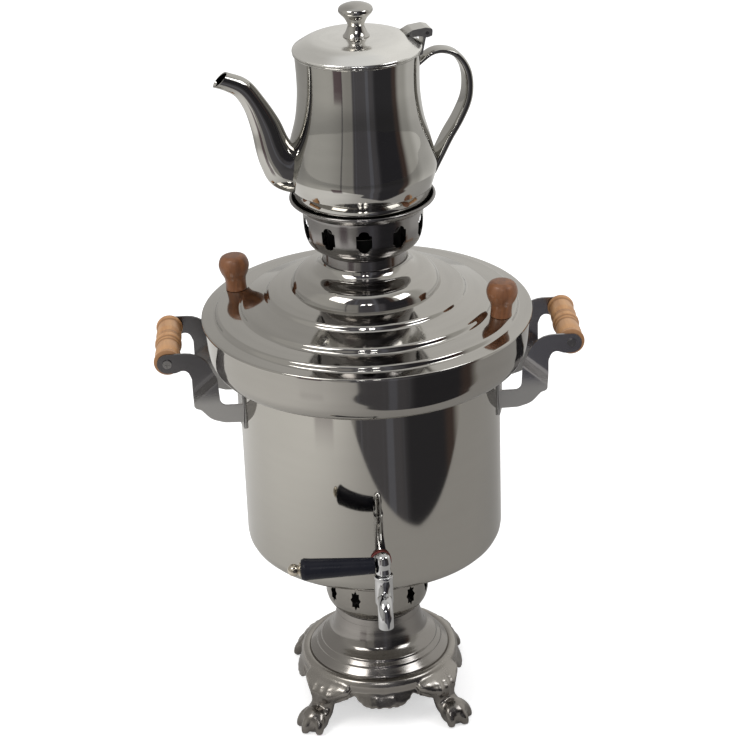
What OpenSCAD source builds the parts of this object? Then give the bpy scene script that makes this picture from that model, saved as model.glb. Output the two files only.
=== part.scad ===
// Samovar with a slotted crown and a teakettle.
// The axis of the tank is Z, the table is Z = 0, and the tap faces -Y.

/* [Tank] */
// Outside diameter of the tank
tank_d = 240; // [210:5:270]
// Height of the tank from its floor to its open edge
tank_h = 194; // [150:2:240]
// Thickness of the steel sheet
sheet_t = 1; // [0.8:0.1:1.4]
// Outside radius of the tank's bottom corner
tank_corner_r = 15; // [8:1:25]
// Width that the collar flares out beyond the tank
flare_w = 29; // [22:1:36]
// Height of the collar, from its sleeve's edge to its rim
collar_h = 52; // [44:1:64]
// Height of the plain sleeve at the collar's foot
sleeve_h = 5; // [3:0.5:8]
// How far the collar's sleeve reaches down over the tank
sleeve_lap = 14; // [10:1:18]

/* [Fire tube] */
// Outside diameter of the fire tube at its foot
tube_foot_d = 88; // [70:2:90]
// Outside diameter of the fire tube at its top
tube_top_d = 66; // [50:1:68]
// Height at which the tube starts to narrow, above the tank's floor
tube_cone_z = 70; // [40:5:100]
// Length of the narrowing cone
tube_cone_h = 80; // [50:5:100]
// How far the tube stands above the lid's ledge
tube_rise = 36; // [20:1:40]
// Thickness of the fire grate
grate_t = 4; // [3:0.5:6]
// Diameter of each hole in the grate
grate_hole_d = 7; // [4:0.5:8]

/* [Foot] */
// Height of the base ring's underside above the table
stand_h = 40; // [32:1:60]
// Outside diameter of the cast base ring
ring_d = 153; // [144:1:160]
// Height of the base ring
ring_h = 11.5; // [10:0.5:16]
// Diameter of the flared foot's rim, where it sits in the ring
foot_rim_d = 134.5; // [126:0.5:137]
// Height of the flared foot
foot_h = 48; // [40:1:54]
// Diameter of the upper step ring on the flared foot
foot_step_d = 111; // [104:1:114]
// Outside diameter of the neck below the draught ring
vent_neck_d = 74; // [66:1:80]
// Outside diameter of the draught ring
vent_d = 98; // [92:1:104]
// Height of the draught ring, from the flared foot to the tank
vent_h = 76.5; // [66:0.5:90]
// Height of the ring's rounded lower part
vent_bowl_h = 16.5; // [13:0.5:18]
// Number of star-shaped holes round the draught ring
vent_count = 11; // [8:1:12]
// Turn of the star-shaped holes from the tap's side
star_turn = 5.3; // [0:0.1:30]
// Height of each star-shaped hole
star_h = 21.5; // [14:0.5:22]
// Width of each star-shaped hole
star_w = 10.8; // [8:0.2:13]

/* [Legs] */
// Radius of the circle on which the paws stand
paw_circle_r = 97; // [92:1:106]
// Width of each paw
paw_w = 37; // [30:1:40]
// Height of each paw
paw_h = 24; // [18:1:28]
// Width of each leg where it meets the base ring
leg_top_w = 56; // [44:1:60]
// How far the knee stands out beyond the base ring
knee_out = 5; // [3:0.5:8]
// Width of each plain lobe between the legs
lobe_w = 53; // [44:1:56]
// How far each lobe hangs below the base ring
lobe_drop = 15.5; // [11:0.5:20]

/* [Lid] */
// Gap between the collar's rim and the turned-down edge of the lid's flange
flange_gap = 0.4; // [0.3:0.1:1]
// Width of the lid's flat flange
flange_w = 12.2; // [9:0.2:15]
// Height of the first step of the lid
step1_h = 4.5; // [3:0.2:6]
// Height of the second step of the lid
step2_h = 4.6; // [3:0.2:6]
// Height of the third step of the lid
step3_h = 4; // [3:0.2:6]
// Width of the lid's outer band, on which the knobs stand
band1_w = 21.2; // [21:0.2:24]
// Radius of the foot of the lid's dome
dome_r = 68; // [64:0.5:72]
// Height of the lid's dome up to its lip
dome_h = 25.9; // [20:0.1:32]
// Depth of the lid's locating rim below the flange
lid_rim_h = 10; // [6:0.5:14]

/* [Lid knobs] */
// Height of each wooden lid knob
knob_h = 33.2; // [28:0.2:44]
// Largest diameter of each lid knob
knob_d = 28; // [24:0.5:31]
// Diameter of each lid knob's foot
knob_foot_d = 19.4; // [16:0.2:19.4]
// Turn of the knobs' line from the line of the side handles
knob_turn = -21; // [-40:1:0]
// Diameter of the screws that hold the lid knobs
knob_screw_d = 4; // [3:0.5:5]

/* [Crown] */
// Outside diameter of the crown's neck
neck_d = 76; // [73:0.5:77]
// Height of the crown's neck
neck_h = 19; // [16:0.5:24]
// Outside diameter of the slotted bowl at its top
bowl_d = 108; // [103:0.5:109]
// Height of the slotted bowl
bowl_h = 40; // [36:0.5:46]
// Outside diameter of the dish's rolled rim
dish_d = 130.5; // [124:0.5:138]
// Depth of the dish that holds the kettle
dish_h = 8.5; // [6:0.5:12]
// Number of slots round the bowl
slot_count = 10; // [8:1:11]
// Turn of the slots from the tap's side
slot_turn = -2; // [-18:0.5:18]
// Height of each slot
slot_h = 21; // [17:0.5:22]
// Width of each slot
slot_w = 14; // [10:0.2:16]

/* [Kettle] */
// Largest diameter of the kettle
kettle_d = 133; // [126:1:140]
// Height of the kettle's body to its rim
kettle_h = 141; // [120:1:160]
// Diameter of the kettle's waist below its lid
kettle_neck_d = 107.4; // [102:0.2:112]
// Diameter of the kettle's flat base
kettle_base_d = 110; // [106:0.5:114]
// Thickness of the kettle's sheet
kettle_t = 0.8; // [0.6:0.1:1.2]
// Turn of the kettle's spout and handle from the line of the side handles
kettle_turn = 12.5; // [0:0.5:30]
// Reach of the kettle's spout tip from the kettle's axis
spout_reach = 121; // [115:1:130]
// Height of the kettle's spout tip above its base
spout_tip_z = 125.5; // [115:0.5:132]
// Outside diameter of the spout at its tip
spout_tip_d = 15.6; // [12:0.2:17]
// Wall of the spout
spout_t = 1; // [0.8:0.1:1.4]
// Diameter of each strainer hole
strainer_d = 4; // [3:0.2:4.6]
// Reach of the kettle's handle from the kettle's axis
strap_reach = 103.3; // [95:0.1:110]
// Width of the kettle's hollow handle at its grip
strap_w = 19; // [14:0.5:22]
// Thickness of the kettle's hollow handle at its grip
strap_t = 8; // [6:0.5:10]

/* [Kettle lid] */
// Rise of the kettle lid's dome
cover_rise = 11.3; // [8:0.1:14]
// Height of the kettle's metal knob
pull_h = 29.6; // [25:0.2:36]
// Diameter of the kettle's metal knob
pull_d = 30; // [26:0.5:34]
// Diameter of the hinge pin
pin_d = 3; // [2.5:0.1:3.6]
// Width of the folded hinge leaf
leaf_w = 17.6; // [15:0.2:20]

/* [Side handles] */
// Distance between the two arms of a side handle
grip_span = 80; // [70:1:92]
// Distance of each grip's axis beyond the collar's rim
grip_out = 33; // [30:0.5:42]
// Height of each grip's axis above the collar's foot
grip_rise = 26.5; // [20:0.5:32]
// Diameter of the wooden side grips
grip_d = 25; // [22:0.5:27]
// Thickness of the stamped arms
arm_t = 2; // [1.5:0.25:3]
// How far each arm steps outward between its foot and its grip
joggle = 7; // [4:0.5:9]
// Height of the mounting plate
plate_h = 45.5; // [42:0.5:54]
// Diameter of the grip screws
grip_screw_d = 4; // [3:0.5:5]

/* [Tap] */
// Height of the tap's inlet above the tank's floor
tap_rise = 38; // [30:1:60]
// Distance of the plug's axis from the tank's wall
tap_reach = 50; // [44:1:60]
// Outside diameter of the tap's plug housing
housing_d = 16; // [15:0.5:19]
// Diameter of the tap's plug
plug_d = 11; // [10:0.5:11.5]
// Diameter of the inlet's threaded shank
shank_d = 13; // [11:0.5:14]
// Waterway through the tap
water_d = 7; // [5:0.5:7]
// Outside diameter of the swan-neck spout
swan_d = 13.5; // [12:0.5:15]
// Drop of the spout's mouth below the inlet
swan_drop = 27.5; // [23:0.5:36]
// Length of the black lever grip
lever_l = 65; // [50:1:80]
// Diameter of the lever grip at its outer end
lever_d = 20; // [16:0.5:22]
// Diameter of the ball at the lever's end
ball_d = 11; // [9:0.5:13]

/* [Fits] */
// Gap between curved faces of pieces that lift apart
lift_gap = 0.3; // [0.2:0.05:0.5]
// Radial gap of a running fit
run_gap = 0.06; // [0.03:0.01:0.09]
// Radial gap round a screw
screw_gap = 0.1; // [0.05:0.05:0.2]

/* [Hidden] */
$fn = 96;

eps = 0.01;
tank_r = tank_d / 2;
ring_top_z = stand_h + ring_h;
foot_z = ring_top_z - 2;
vent_z = foot_z + foot_h;
tank_z = vent_z + vent_h;
tank_top_z = tank_z + tank_h;
collar_z = tank_top_z - sleeve_lap;
rim_z = collar_z + collar_h;
rim_r = tank_r + flare_w;
rim_bead_r = 1.3;

// Lid levels
flange_r = rim_r + flange_gap + sheet_t;
ledge1_r = flange_r - flange_w;
step1_r = ledge1_r - 2;
step2_r = step1_r - band1_w;
ledge3_r = step2_r - 2;
step3_r = ledge3_r - (ledge3_r - 2 - dome_r) * 0.51;
flange_slope = 0.1;
flange_z = rim_z + sheet_t;
ledge1_z = flange_z + flange_w * flange_slope;
step1_z = ledge1_z + step1_h;
step2_z = step1_z + band1_w * 0.05;
ledge3_z = step2_z + step2_h;
step3_z = ledge3_z + (ledge3_r - step3_r) * 0.29;
ledge4_z = step3_z + step3_h;
dome_z = ledge4_z + (step3_r - 2 - dome_r) * 0.17;
lip_z = dome_z + dome_h;
lip_r = neck_d / 2 + sheet_t + lift_gap;
ledge_z = lip_z - 8.6;
seat_z = ledge_z + sheet_t;
tube_top_z = seat_z + tube_rise;
lid_rim_r = rim_r - 3.6;
step_fillet = 1.6;
knob_circle_r = step2_r + step_fillet + 0.1 + knob_foot_d / 2;
knob_lean = atan2(step2_z - step1_z, band1_w);

// Crown and kettle levels
neck_r = neck_d / 2;
bowl_r = bowl_d / 2;
bowl_z = seat_z + lift_gap + neck_h;
dish_z = bowl_z + bowl_h;
kettle_z = dish_z + sheet_t + lift_gap;
kettle_r = kettle_d / 2;
kettle_neck_r = kettle_neck_d / 2;
kettle_rim_z = kettle_z + kettle_h;
cover_r = kettle_neck_r + 2.8;
cover_z = kettle_rim_z + lift_gap;
pin_r = pin_d / 2;
pin_x = cover_r + 4.6;
pin_z = kettle_rim_z + 9.6;
leaf_t = 1.2;
knuckle_r = pin_r + 1.7;
pull_z = cover_z + cover_rise;

// Tap places
tap_z = tank_z + tap_rise;
plug_y = -(tank_r + tap_reach);
plug_r = plug_d / 2;
housing_top = tap_z + 11;
housing_foot = tap_z - 12;
bore_foot = housing_foot - 4;
outlet_z = tap_z - 8;
bonnet_h = 4;
cap_z = housing_top + bonnet_h;
cap_h = 21;
lever_z = cap_z + 9;
cap_r = housing_d / 2 - 1.2;
lever_x = cap_r + 0.2;
rod_r = 2.2;
washer_t = 2;
washer_r = 9.5;

// Side handle places
grip_reach = rim_r + grip_out;
grip_z = collar_z + grip_rise;
arm_in = grip_span / 2;
arm_foot_in = arm_in - joggle;
plate_r = tank_r + 0.1;
plate_top_z = collar_z - lift_gap;
plate_foot_z = plate_top_z - plate_h;
arm_foot_x = sqrt(plate_r * plate_r - arm_foot_in * arm_foot_in) + 0.4;

function xy(p) = [p.x, p.y];
function unit(v) = v / norm(v);
function left_of(v) = [-v.y, v.x];

// Points of an arc that rounds the corner b between a and c with radius r
function corner(a, b, c, r, n = 5) =
    let(u = unit(xy(a) - xy(b)), v = unit(xy(c) - xy(b)), half = acos(u * v) / 2,
        m = xy(b) + unit(u + v) * r / sin(half),
        s = xy(b) + u * r / tan(half) - m, e = xy(b) + v * r / tan(half) - m,
        a0 = atan2(s.y, s.x), turn = atan2(s.x * e.y - s.y * e.x, s * e))
    [for (k = [0:n]) m + r * [cos(a0 + turn * k / n), sin(a0 + turn * k / n)]];

// Open path of [x, y, corner radius] points
function soft_path(p, n = 5) = [
    for (i = [0:len(p) - 1])
        each (i == 0 || i == len(p) - 1 || p[i].z == 0
            ? [xy(p[i])]
            : corner(p[i - 1], p[i], p[i + 1], p[i].z, n))
];

// Closed outline of [x, y, corner radius] points
function soft_loop(p, n = 5) = let(c = len(p)) [
    for (i = [0:c - 1])
        each (p[i].z == 0 ? [xy(p[i])] : corner(p[(i + c - 1) % c], p[i], p[(i + 1) % c], p[i].z, n))
];

// Smooth curve that passes through every point
function spline_point(a, b, c, d, t) =
    0.5 * (2 * b + (c - a) * t + (2 * a - 5 * b + 4 * c - d) * t * t + (3 * b - a - 3 * c + d) * t * t * t);
function spline(p, n = 6) = let(m = len(p) - 1) concat(
    [for (i = [0:m - 1], k = [0:n - 1])
        spline_point(p[max(i - 1, 0)], p[i], p[i + 1], p[min(i + 2, m)], k / n)],
    [p[m]]
);

// Closed section of a sheet of thickness t that lies to the left of an open path
function offset_path(p, t) =
    let(m = len(p) - 1, n = [for (i = [0:m - 1]) left_of(unit(p[i + 1] - p[i]))])
    [for (i = [0:m]) let(a = n[max(i - 1, 0)], b = n[min(i, m - 1)], s = unit(a + b)) p[i] + s * t / (s * b)];
function reversed(p) = [for (i = [len(p) - 1:-1:0]) p[i]];
function sheet(p, t) = concat(p, reversed(offset_path(p, t)));

// Body of revolution of a sheet that follows an outside path
module spun(path, t = sheet_t) {
    rotate_extrude() polygon([for (p = sheet(path, t)) [max(p.x, 0), p.y]]);
}

// Copies round the axis
module around(count, first = 0) {
    for (k = [0:count - 1]) rotate([0, 0, first + k * 360 / count]) children();
}

// Outward cut through a wall on the +X side, from an outline whose axes are Y and Z
module side_cut(from_r, to_r, z) {
    translate([from_r, 0, z]) rotate([90, 0, 90]) linear_extrude(to_r - from_r) children();
}

// Oval tube along stations of [x, z, half width, half thickness], with sides squared by power
module sweep(st, power = 1, sides = 16) {
    m = len(st) - 1;
    dirs = [for (i = [0:m]) unit(xy(st[min(i + 1, m)]) - xy(st[max(i - 1, 0)]))];
    pts = [
        for (i = [0:m], k = [0:sides - 1])
            let(a = 360 * (k + 0.5) / sides, c = cos(a), s = sin(a), n = left_of(dirs[i]),
                h = st[i][3] * sign(c) * pow(abs(c), power), w = st[i][2] * sign(s) * pow(abs(s), power))
            [st[i].x + n.x * h, w, st[i].y + n.y * h]
    ];
    tris = concat(
        [for (i = [0:m - 1], k = [0:sides - 1])
            let(a = i * sides + k, b = i * sides + (k + 1) % sides)
            each [[a, b, b + sides], [a, b + sides, a + sides]]],
        [[for (k = [sides - 1:-1:0]) k]],
        [[for (k = [0:sides - 1]) m * sides + k]]
    );
    polyhedron(points = pts, faces = tris);
}

// Pan head with a cross recess, its shank along -Z from the origin
module screw(shank_d, length, head_d, head_h) {
    difference() {
        union() {
            cylinder(d = head_d, h = head_h);
            translate([0, 0, -length]) cylinder(d = shank_d, h = length + eps);
        }
        for (a = [0, 90])
            rotate([0, 0, a]) translate([-head_d * 0.3, -head_d * 0.06, head_h * 0.4])
                cube([head_d * 0.6, head_d * 0.12, head_h]);
    }
}

// ---- Tank

tank_path = soft_path([
    [tube_foot_d / 2 + 0.1, tank_z, 0], [tank_r, tank_z, tank_corner_r], [tank_r, tank_top_z, 0]
], 12);

module tank() {
    color("lightgray") difference() {
        spun(tank_path);
        translate([0, -tank_r + 12, tap_z]) rotate([90, 0, 0]) cylinder(d = shank_d + 2 * screw_gap, h = 24);
    }
}

collar_r0 = tank_r + 0.1 + sheet_t;
collar_path = concat(
    [[collar_r0, collar_z]],
    spline([
        [collar_r0, collar_z + sleeve_h], [collar_r0 + flare_w * 0.324, collar_z + sleeve_h + 1.5],
        [collar_r0 + flare_w * 0.669, collar_z + sleeve_h + 5],
        [collar_r0 + flare_w * 0.824, collar_z + collar_h * 0.327],
        [collar_r0 + flare_w * 0.879, collar_z + collar_h * 0.5],
        [collar_r0 + flare_w * 0.914, collar_z + collar_h * 0.73], [rim_r, rim_z]
    ])
);

module collar() {
    color("gainsboro") union() {
        spun(collar_path);
        translate([0, 0, rim_z - rim_bead_r]) rotate_extrude()
            translate([rim_r - rim_bead_r, 0]) circle(r = rim_bead_r, $fn = 32);
    }
}

// ---- Fire tube and grate

tube_foot_r = tube_foot_d / 2;
tube_top_r = tube_top_d / 2;

module fire_tube() {
    color("darkgray") spun([
        [tube_foot_r, tank_z], [tube_foot_r, tank_z + tube_cone_z],
        [tube_top_r, tank_z + tube_cone_z + tube_cone_h], [tube_top_r, tube_top_z]
    ], 1.2);
}

module fire_grate() {
    grate_r = tube_foot_r - 1.2 - lift_gap;
    color("dimgray") translate([0, 0, tank_z]) difference() {
        cylinder(r = grate_r, h = grate_t);
        for (ring = [0:2])
            around(max(1, ring * 6)) translate([ring * grate_r * 0.33, 0, -1])
                cylinder(d = grate_hole_d, h = grate_t + 2);
    }
}

// ---- Foot

vent_neck_r = vent_neck_d / 2;
vent_r = vent_d / 2;
star_z = vent_z + 26.5;

vent_path = concat(
    [[vent_neck_r, vent_z - 6], [vent_neck_r, vent_z]],
    spline([
        [vent_neck_r + 1.5, vent_z + 0.6],
        [vent_neck_r + (vent_r - vent_neck_r) * 0.55, vent_z + vent_bowl_h * 0.28],
        [vent_neck_r + (vent_r - vent_neck_r) * 0.86, vent_z + vent_bowl_h * 0.62],
        [vent_r, vent_z + vent_bowl_h]
    ], 5),
    [[vent_r, vent_z + 38.5], [vent_r + 0.8, vent_z + 39.5], [vent_r + 0.8, tank_z], [tube_foot_r - 5, tank_z]]
);

function star(w, h, points = 8) = [
    for (k = [0:2 * points - 1])
        let(a = 180 * k / points, s = k % 2 == 0 ? 1 : 0.72) [w / 2 * s * cos(a), h / 2 * s * sin(a)]
];

module draught_ring() {
    color("silver") difference() {
        spun(vent_path);
        around(vent_count, star_turn - 90)
            side_cut(vent_r - 12, vent_r + 5, star_z) polygon(star(star_w, star_h));
    }
}

foot_rim_r = foot_rim_d / 2;
foot_step_r = foot_step_d / 2;
foot_path = concat(
    soft_path([
        [foot_rim_r, foot_z, 0], [foot_rim_r, foot_z + 2.4, 1.4], [foot_step_r + 5, foot_z + 8, 0.6],
        [foot_step_r + 4.4, foot_z + 9.6, 0.6], [foot_step_r + 0.6, foot_z + 12.6, 0.6],
        [foot_step_r, foot_z + 14.2, 0.6],
        [foot_step_r - 1.6, foot_z + 15.2, 0]
    ], 3),
    spline([
        [foot_step_r - 2.4, foot_z + 15.7], [foot_step_r - 10, foot_z + foot_h * 0.46],
        [vent_neck_r + 4.6, foot_z + foot_h * 0.72], [vent_neck_r + 1.7, foot_z + foot_h]
    ])
);

module flared_foot() {
    color("silver") union() {
        spun(foot_path);
        translate([0, 0, vent_z - 7.2]) difference() {
            cylinder(r = vent_neck_r + 3, h = 1.2);
            translate([0, 0, -1]) cylinder(r = vent_neck_r - 4, h = 4);
        }
    }
}

ring_r = ring_d / 2;
lobe_t = 3.2;
lobe_flare = 5;

// Half of the lobe's scalloped lower edge, as shares of its width and drop
scallops = [
    [0.5, -0.1, 2], [0.47, -0.36, 2], [0.4, -0.4, 1], [0.37, -0.68, 2], [0.28, -0.68, 1], [0.24, -0.9, 2],
    [0.15, -0.86, 1], [0.1, -1, 1.5], [0.03, -0.93, 1]
];

// Flared lobe between two legs, with a scalloped lower edge
module lobe() {
    half = [for (p = scallops) [p.x * lobe_w, p.y * lobe_drop, p.z]];
    flare = spline([
        [ring_r + lobe_flare, stand_h - lobe_drop - 1], [ring_r + lobe_flare * 0.5, stand_h - lobe_drop * 0.6],
        [ring_r - 0.5, stand_h - lobe_drop * 0.25], [ring_r - 1.5, stand_h + 3]
    ]);
    intersection() {
        rotate_extrude() polygon(sheet(flare, lobe_t));
        side_cut(0, ring_r + 20, stand_h) polygon(soft_loop(concat(
            [[-lobe_w / 2, 3, 0], [lobe_w / 2, 3, 0]], half,
            [for (i = [len(half) - 1:-1:0]) [-half[i].x, half[i].y, half[i].z]]
        ), 3));
    }
}

module base_ring() {
    color("silver") union() {
        rotate_extrude() polygon(soft_loop([
            [foot_rim_r + 0.3, ring_top_z, 1], [foot_rim_r + 0.3, foot_z, 0], [foot_rim_r - 7, foot_z, 0],
            [foot_rim_r - 7, foot_z - 3, 0], [ring_r - 9, foot_z - 4, 3], [ring_r - 9, stand_h, 1],
            [ring_r - 2.5, stand_h, 2], [ring_r, stand_h + 3, 3], [ring_r - 0.6, stand_h + 7, 4],
            [ring_r - 3.6, ring_top_z, 3]
        ]));
        around(4) lobe();
    }
}

// ---- Legs

ankle_r = paw_circle_r - 16;
leg_screw_r = ring_r - 7;
leg_tongue_t = 5;

// Stations of the cabriole leg in the plane of its radius, as [x, z, half width, half thickness]
leg_stations = spline([
    [ring_r - 9, stand_h + 4, leg_top_w * 0.46, 6], [ring_r - 1, stand_h - 1, leg_top_w * 0.5, 7],
    [ring_r + knee_out * 0.7, stand_h - 7, leg_top_w * 0.35, 7.5],
    [ring_r + knee_out, stand_h - 13, leg_top_w * 0.25, 7], [ankle_r + 1.5, paw_h * 0.84, paw_w * 0.34, 7],
    [ankle_r + 6, paw_h * 0.6, paw_w * 0.36, 7.5], [paw_circle_r - 2, paw_h * 0.46, paw_w * 0.34, 7.5],
    [paw_circle_r + 5, paw_h * 0.4, paw_w * 0.26, 5.5]
], 3);

// Vein of the leaf on the knee, which stands out from the leg's front
module vein(turn, first, last) {
    line = [for (i = [first:last])
        let(p = leg_stations[i], q = leg_stations[i + 1], n = left_of(unit([q.x - p.x, q.y - p.y])))
        [p.x + n.x * (p[3] - 1.2), p.y + n.y * (p[3] - 1.2), 3.2 - 0.15 * (i - first), 2.2]];
    rotate([0, 0, turn]) sweep(line, 1, 10);
}

// Claw toe: a bent finger from the ankle to the table
module toe(turn, reach) {
    translate([paw_circle_r - 10, 0, 0]) rotate([0, 0, turn]) sweep(spline([
        [1, paw_h * 0.6, 5.4, 5.4], [reach * 0.35, paw_h * 0.66, 6.2, 6.2], [reach * 0.7, paw_h * 0.5, 6.2, 6.2],
        [reach * 0.94, paw_h * 0.26, 5, 5], [reach + 1, 1, 3, 3.4]
    ], 2), 1, 12);
}

module leg(turn) {
    color("silver") rotate([0, 0, turn]) intersection() {
        union() {
            difference() {
                union() {
                    sweep(leg_stations, 0.8, 14);
                    vein(0, 4, 12);
                    vein(-6, 4, 8);
                    vein(6, 4, 8);
                }
                translate([0, 0, stand_h]) cylinder(r = ring_r + 0.3, h = ring_h * 2);
                translate([leg_screw_r, 0, -1]) cylinder(r = 4.6, h = stand_h - leg_tongue_t + 1);
            }
            toe(-40, 19);
            toe(0, 21);
            toe(40, 19);
            translate([paw_circle_r - 3, 0, paw_h * 0.4]) sphere(r = paw_w * 0.36, $fn = 32);
        }
        translate([0, -100, 0]) cube([200, 200, 200]);
    }
}

leg_turns = [-135, -45, 135, 45];

module leg_front_left() { leg(leg_turns[0]); }
module leg_front_right() { leg(leg_turns[1]); }
module leg_back_left() { leg(leg_turns[2]); }
module leg_back_right() { leg(leg_turns[3]); }

// Hexagon screw heads under the legs' tongues, which hold them to the base ring
module leg_screws() {
    color("gray") for (a = leg_turns)
        rotate([0, 0, a]) translate([leg_screw_r, 0, stand_h - leg_tongue_t - 3]) cylinder(r = 3.6, h = 3, $fn = 6);
}

// ---- Side handles

screw_head_d = 8;

arm_end_r = 9.2;
arm_outline = soft_loop([
    [grip_reach + arm_end_r, grip_z + arm_end_r, arm_end_r - 0.3],
    [grip_reach + arm_end_r, grip_z - arm_end_r, arm_end_r - 0.3],
    [grip_reach - 7, grip_z - 9.4, 8], [grip_reach - 17, grip_z - 5.5, 6], [grip_reach - 21, grip_z - 16, 8],
    [grip_reach - 21, grip_z - 49, 4], [grip_reach - 27, grip_z - 51, 5],
    [grip_reach - 36, grip_z - 61, 16], [plate_r + 14, plate_foot_z + 7.5, 14],
    [arm_foot_x, plate_foot_z + 7, 0], [arm_foot_x, plate_foot_z + 24.8, 0],
    [grip_reach - 45, plate_foot_z + 24.8, 6], [grip_reach - 43.5, grip_z - 19, 12],
    [grip_reach - 33, grip_z + arm_end_r, 24]
], 6);

// Stepped sheet whose bends run down and outward across the arm
module joggled_sheet() {
    bend = 42;
    mid_x = grip_reach - 33;
    mid_z = grip_z - 27;
    half = 5.5;
    low_bend_r = 5;
    high_bend_r = 8;
    translate([mid_x, 0, mid_z]) rotate([0, bend, 0]) rotate([90, 0, 90]) translate([0, 0, -100])
        linear_extrude(200) polygon(soft_loop([
            [-arm_foot_in - arm_t, -100, 0], [-arm_foot_in, -100, 0], [-arm_foot_in, -half, low_bend_r + arm_t],
            [-arm_in, half, high_bend_r], [-arm_in, 120, 0], [-arm_in - arm_t, 120, 0],
            [-arm_in - arm_t, half + 0.6, high_bend_r + arm_t], [-arm_foot_in - arm_t, -half + 0.6, low_bend_r]
        ]));
}

module arm() {
    intersection() {
        joggled_sheet();
        rotate([90, 0, 0]) linear_extrude(100) polygon(arm_outline);
    }
}

module handle_bracket() {
    difference() {
        union() {
            arm();
            mirror([0, 1, 0]) arm();
            // mounting plate, bent round the tank
            translate([0, 0, plate_foot_z]) intersection() {
                difference() {
                    cylinder(r = plate_r + arm_t, h = plate_h);
                    translate([0, 0, -1]) cylinder(r = plate_r, h = plate_h + 2);
                }
                translate([0, -arm_foot_in - arm_t, 0]) cube([tank_d, 2 * (arm_foot_in + arm_t), plate_h]);
            }
        }
        translate([grip_reach, 100, grip_z]) rotate([90, 0, 0])
            cylinder(d = grip_screw_d + 2 * screw_gap, h = 200);
    }
}

module handle_bracket_right() { color("gray") handle_bracket(); }
module handle_bracket_left() { color("gray") mirror([1, 0, 0]) handle_bracket(); }

grip_r = grip_d / 2;
grip_half = [
    [grip_r - 3, 0, 0], [grip_r - 0.5, 1.2, 0], [grip_r, 3.4, 1.5], [grip_r - 2, 6.4, 1],
    [grip_r - 1, 14, 10], [grip_r - 0.8, 24, 10], [grip_r - 2.4, 31, 1], [grip_r - 1, 33.4, 1.2],
    [grip_r - 2, 35.6, 1], [grip_r, 37.8, 1.5]
];

module side_grip() {
    length = grip_span;
    half = soft_path(concat(
        [for (p = grip_half) [p.x, p.y * length / 80, p.z]], [[grip_r - 0.6, length / 2, 0]]
    ), 4);
    full = concat(half, [for (i = [len(half) - 2:-1:0]) [half[i].x, length - half[i].y]]);
    translate([grip_reach, length / 2, grip_z]) rotate([90, 0, 0]) difference() {
        rotate_extrude() polygon(concat([[0, 0]], full, [[0, length]]));
        for (z = [-1, length - 23])
            translate([0, 0, z]) cylinder(d = grip_screw_d + 2 * screw_gap, h = 24);
    }
}

module side_grip_right() { color("burlywood") side_grip(); }
module side_grip_left() { color("burlywood") mirror([1, 0, 0]) side_grip(); }

module grip_screws() {
    color("dimgray") for (x = [-grip_reach, grip_reach], turn = [90, -90])
        translate([x, -sign(turn) * (arm_in + arm_t), grip_z]) rotate([turn, 0, 0])
            screw(grip_screw_d, 20, screw_head_d, 1.4);
}

// ---- Tap

swan_r = swan_d / 2;
swan_bend = 13;

module tap_shell() {
    translate([0, -tank_r + 14, tap_z]) rotate([90, 0, 0]) cylinder(d = shank_d, h = 20);
    translate([0, -tank_r - washer_t - 0.1, tap_z]) rotate([90, 0, 0]) cylinder(r = washer_r - 0.6, h = 2.4);
    translate([0, -tank_r - 4, tap_z]) rotate([90, 0, 0]) cylinder(d = shank_d, h = tap_reach - 4);
    translate([0, plug_y, housing_foot]) cylinder(d = housing_d, h = housing_top - housing_foot);
    translate([0, plug_y, housing_foot]) sphere(d = housing_d);
    // swan neck: forward, over a quarter bend and down
    translate([0, plug_y, outlet_z]) rotate([90, 0, 0]) cylinder(r = swan_r, h = 6);
    translate([0, plug_y - 6, outlet_z - swan_bend]) rotate([0, -90, 0])
        rotate_extrude(angle = -90) translate([swan_bend, 0]) circle(r = swan_r);
    translate([0, plug_y - 6 - swan_bend, tap_z - swan_drop])
        cylinder(r = swan_r, h = swan_drop + outlet_z - tap_z - swan_bend);
}

module tap_body() {
    water_r = water_d / 2;
    color("gainsboro") difference() {
        tap_shell();
        // inlet, plug seat and waterway down the swan neck
        translate([0, -tank_r + 20, tap_z]) rotate([90, 0, 0]) cylinder(r = water_r, h = tap_reach + 20);
        translate([0, plug_y, bore_foot]) cylinder(d = plug_d + 2 * run_gap, h = 100);
        translate([0, plug_y, outlet_z]) rotate([90, 0, 0]) cylinder(r = water_r, h = 6);
        translate([0, plug_y - 6, outlet_z - swan_bend]) rotate([0, -90, 0])
            rotate_extrude(angle = -90) translate([swan_bend, 0]) circle(r = water_r);
        translate([0, plug_y - 6 - swan_bend, tap_z - swan_drop - 1])
            cylinder(r = water_r, h = swan_drop + outlet_z - tap_z - swan_bend + 1 + eps);
    }
}

module tap_washer(y) {
    translate([0, y, tap_z]) rotate([90, 0, 0]) difference() {
        cylinder(r = washer_r, h = washer_t);
        translate([0, 0, -1]) cylinder(d = shank_d + 2 * screw_gap, h = washer_t + 2);
    }
}

module tap_washer_outer() { color("indianred") tap_washer(-tank_r - 0.1); }
inner_face_y = -sqrt(pow(tank_r - sheet_t, 2) - pow(washer_r, 2)) + 0.1;
module tap_washer_inner() { color("indianred") tap_washer(inner_face_y + washer_t); }

module tap_nut() {
    color("goldenrod") translate([0, inner_face_y + washer_t + 6, tap_z]) rotate([90, 0, 0]) difference() {
        cylinder(r = 11, h = 6, $fn = 6);
        translate([0, 0, -1]) cylinder(d = shank_d + 2 * screw_gap, h = 8);
    }
}

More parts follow.
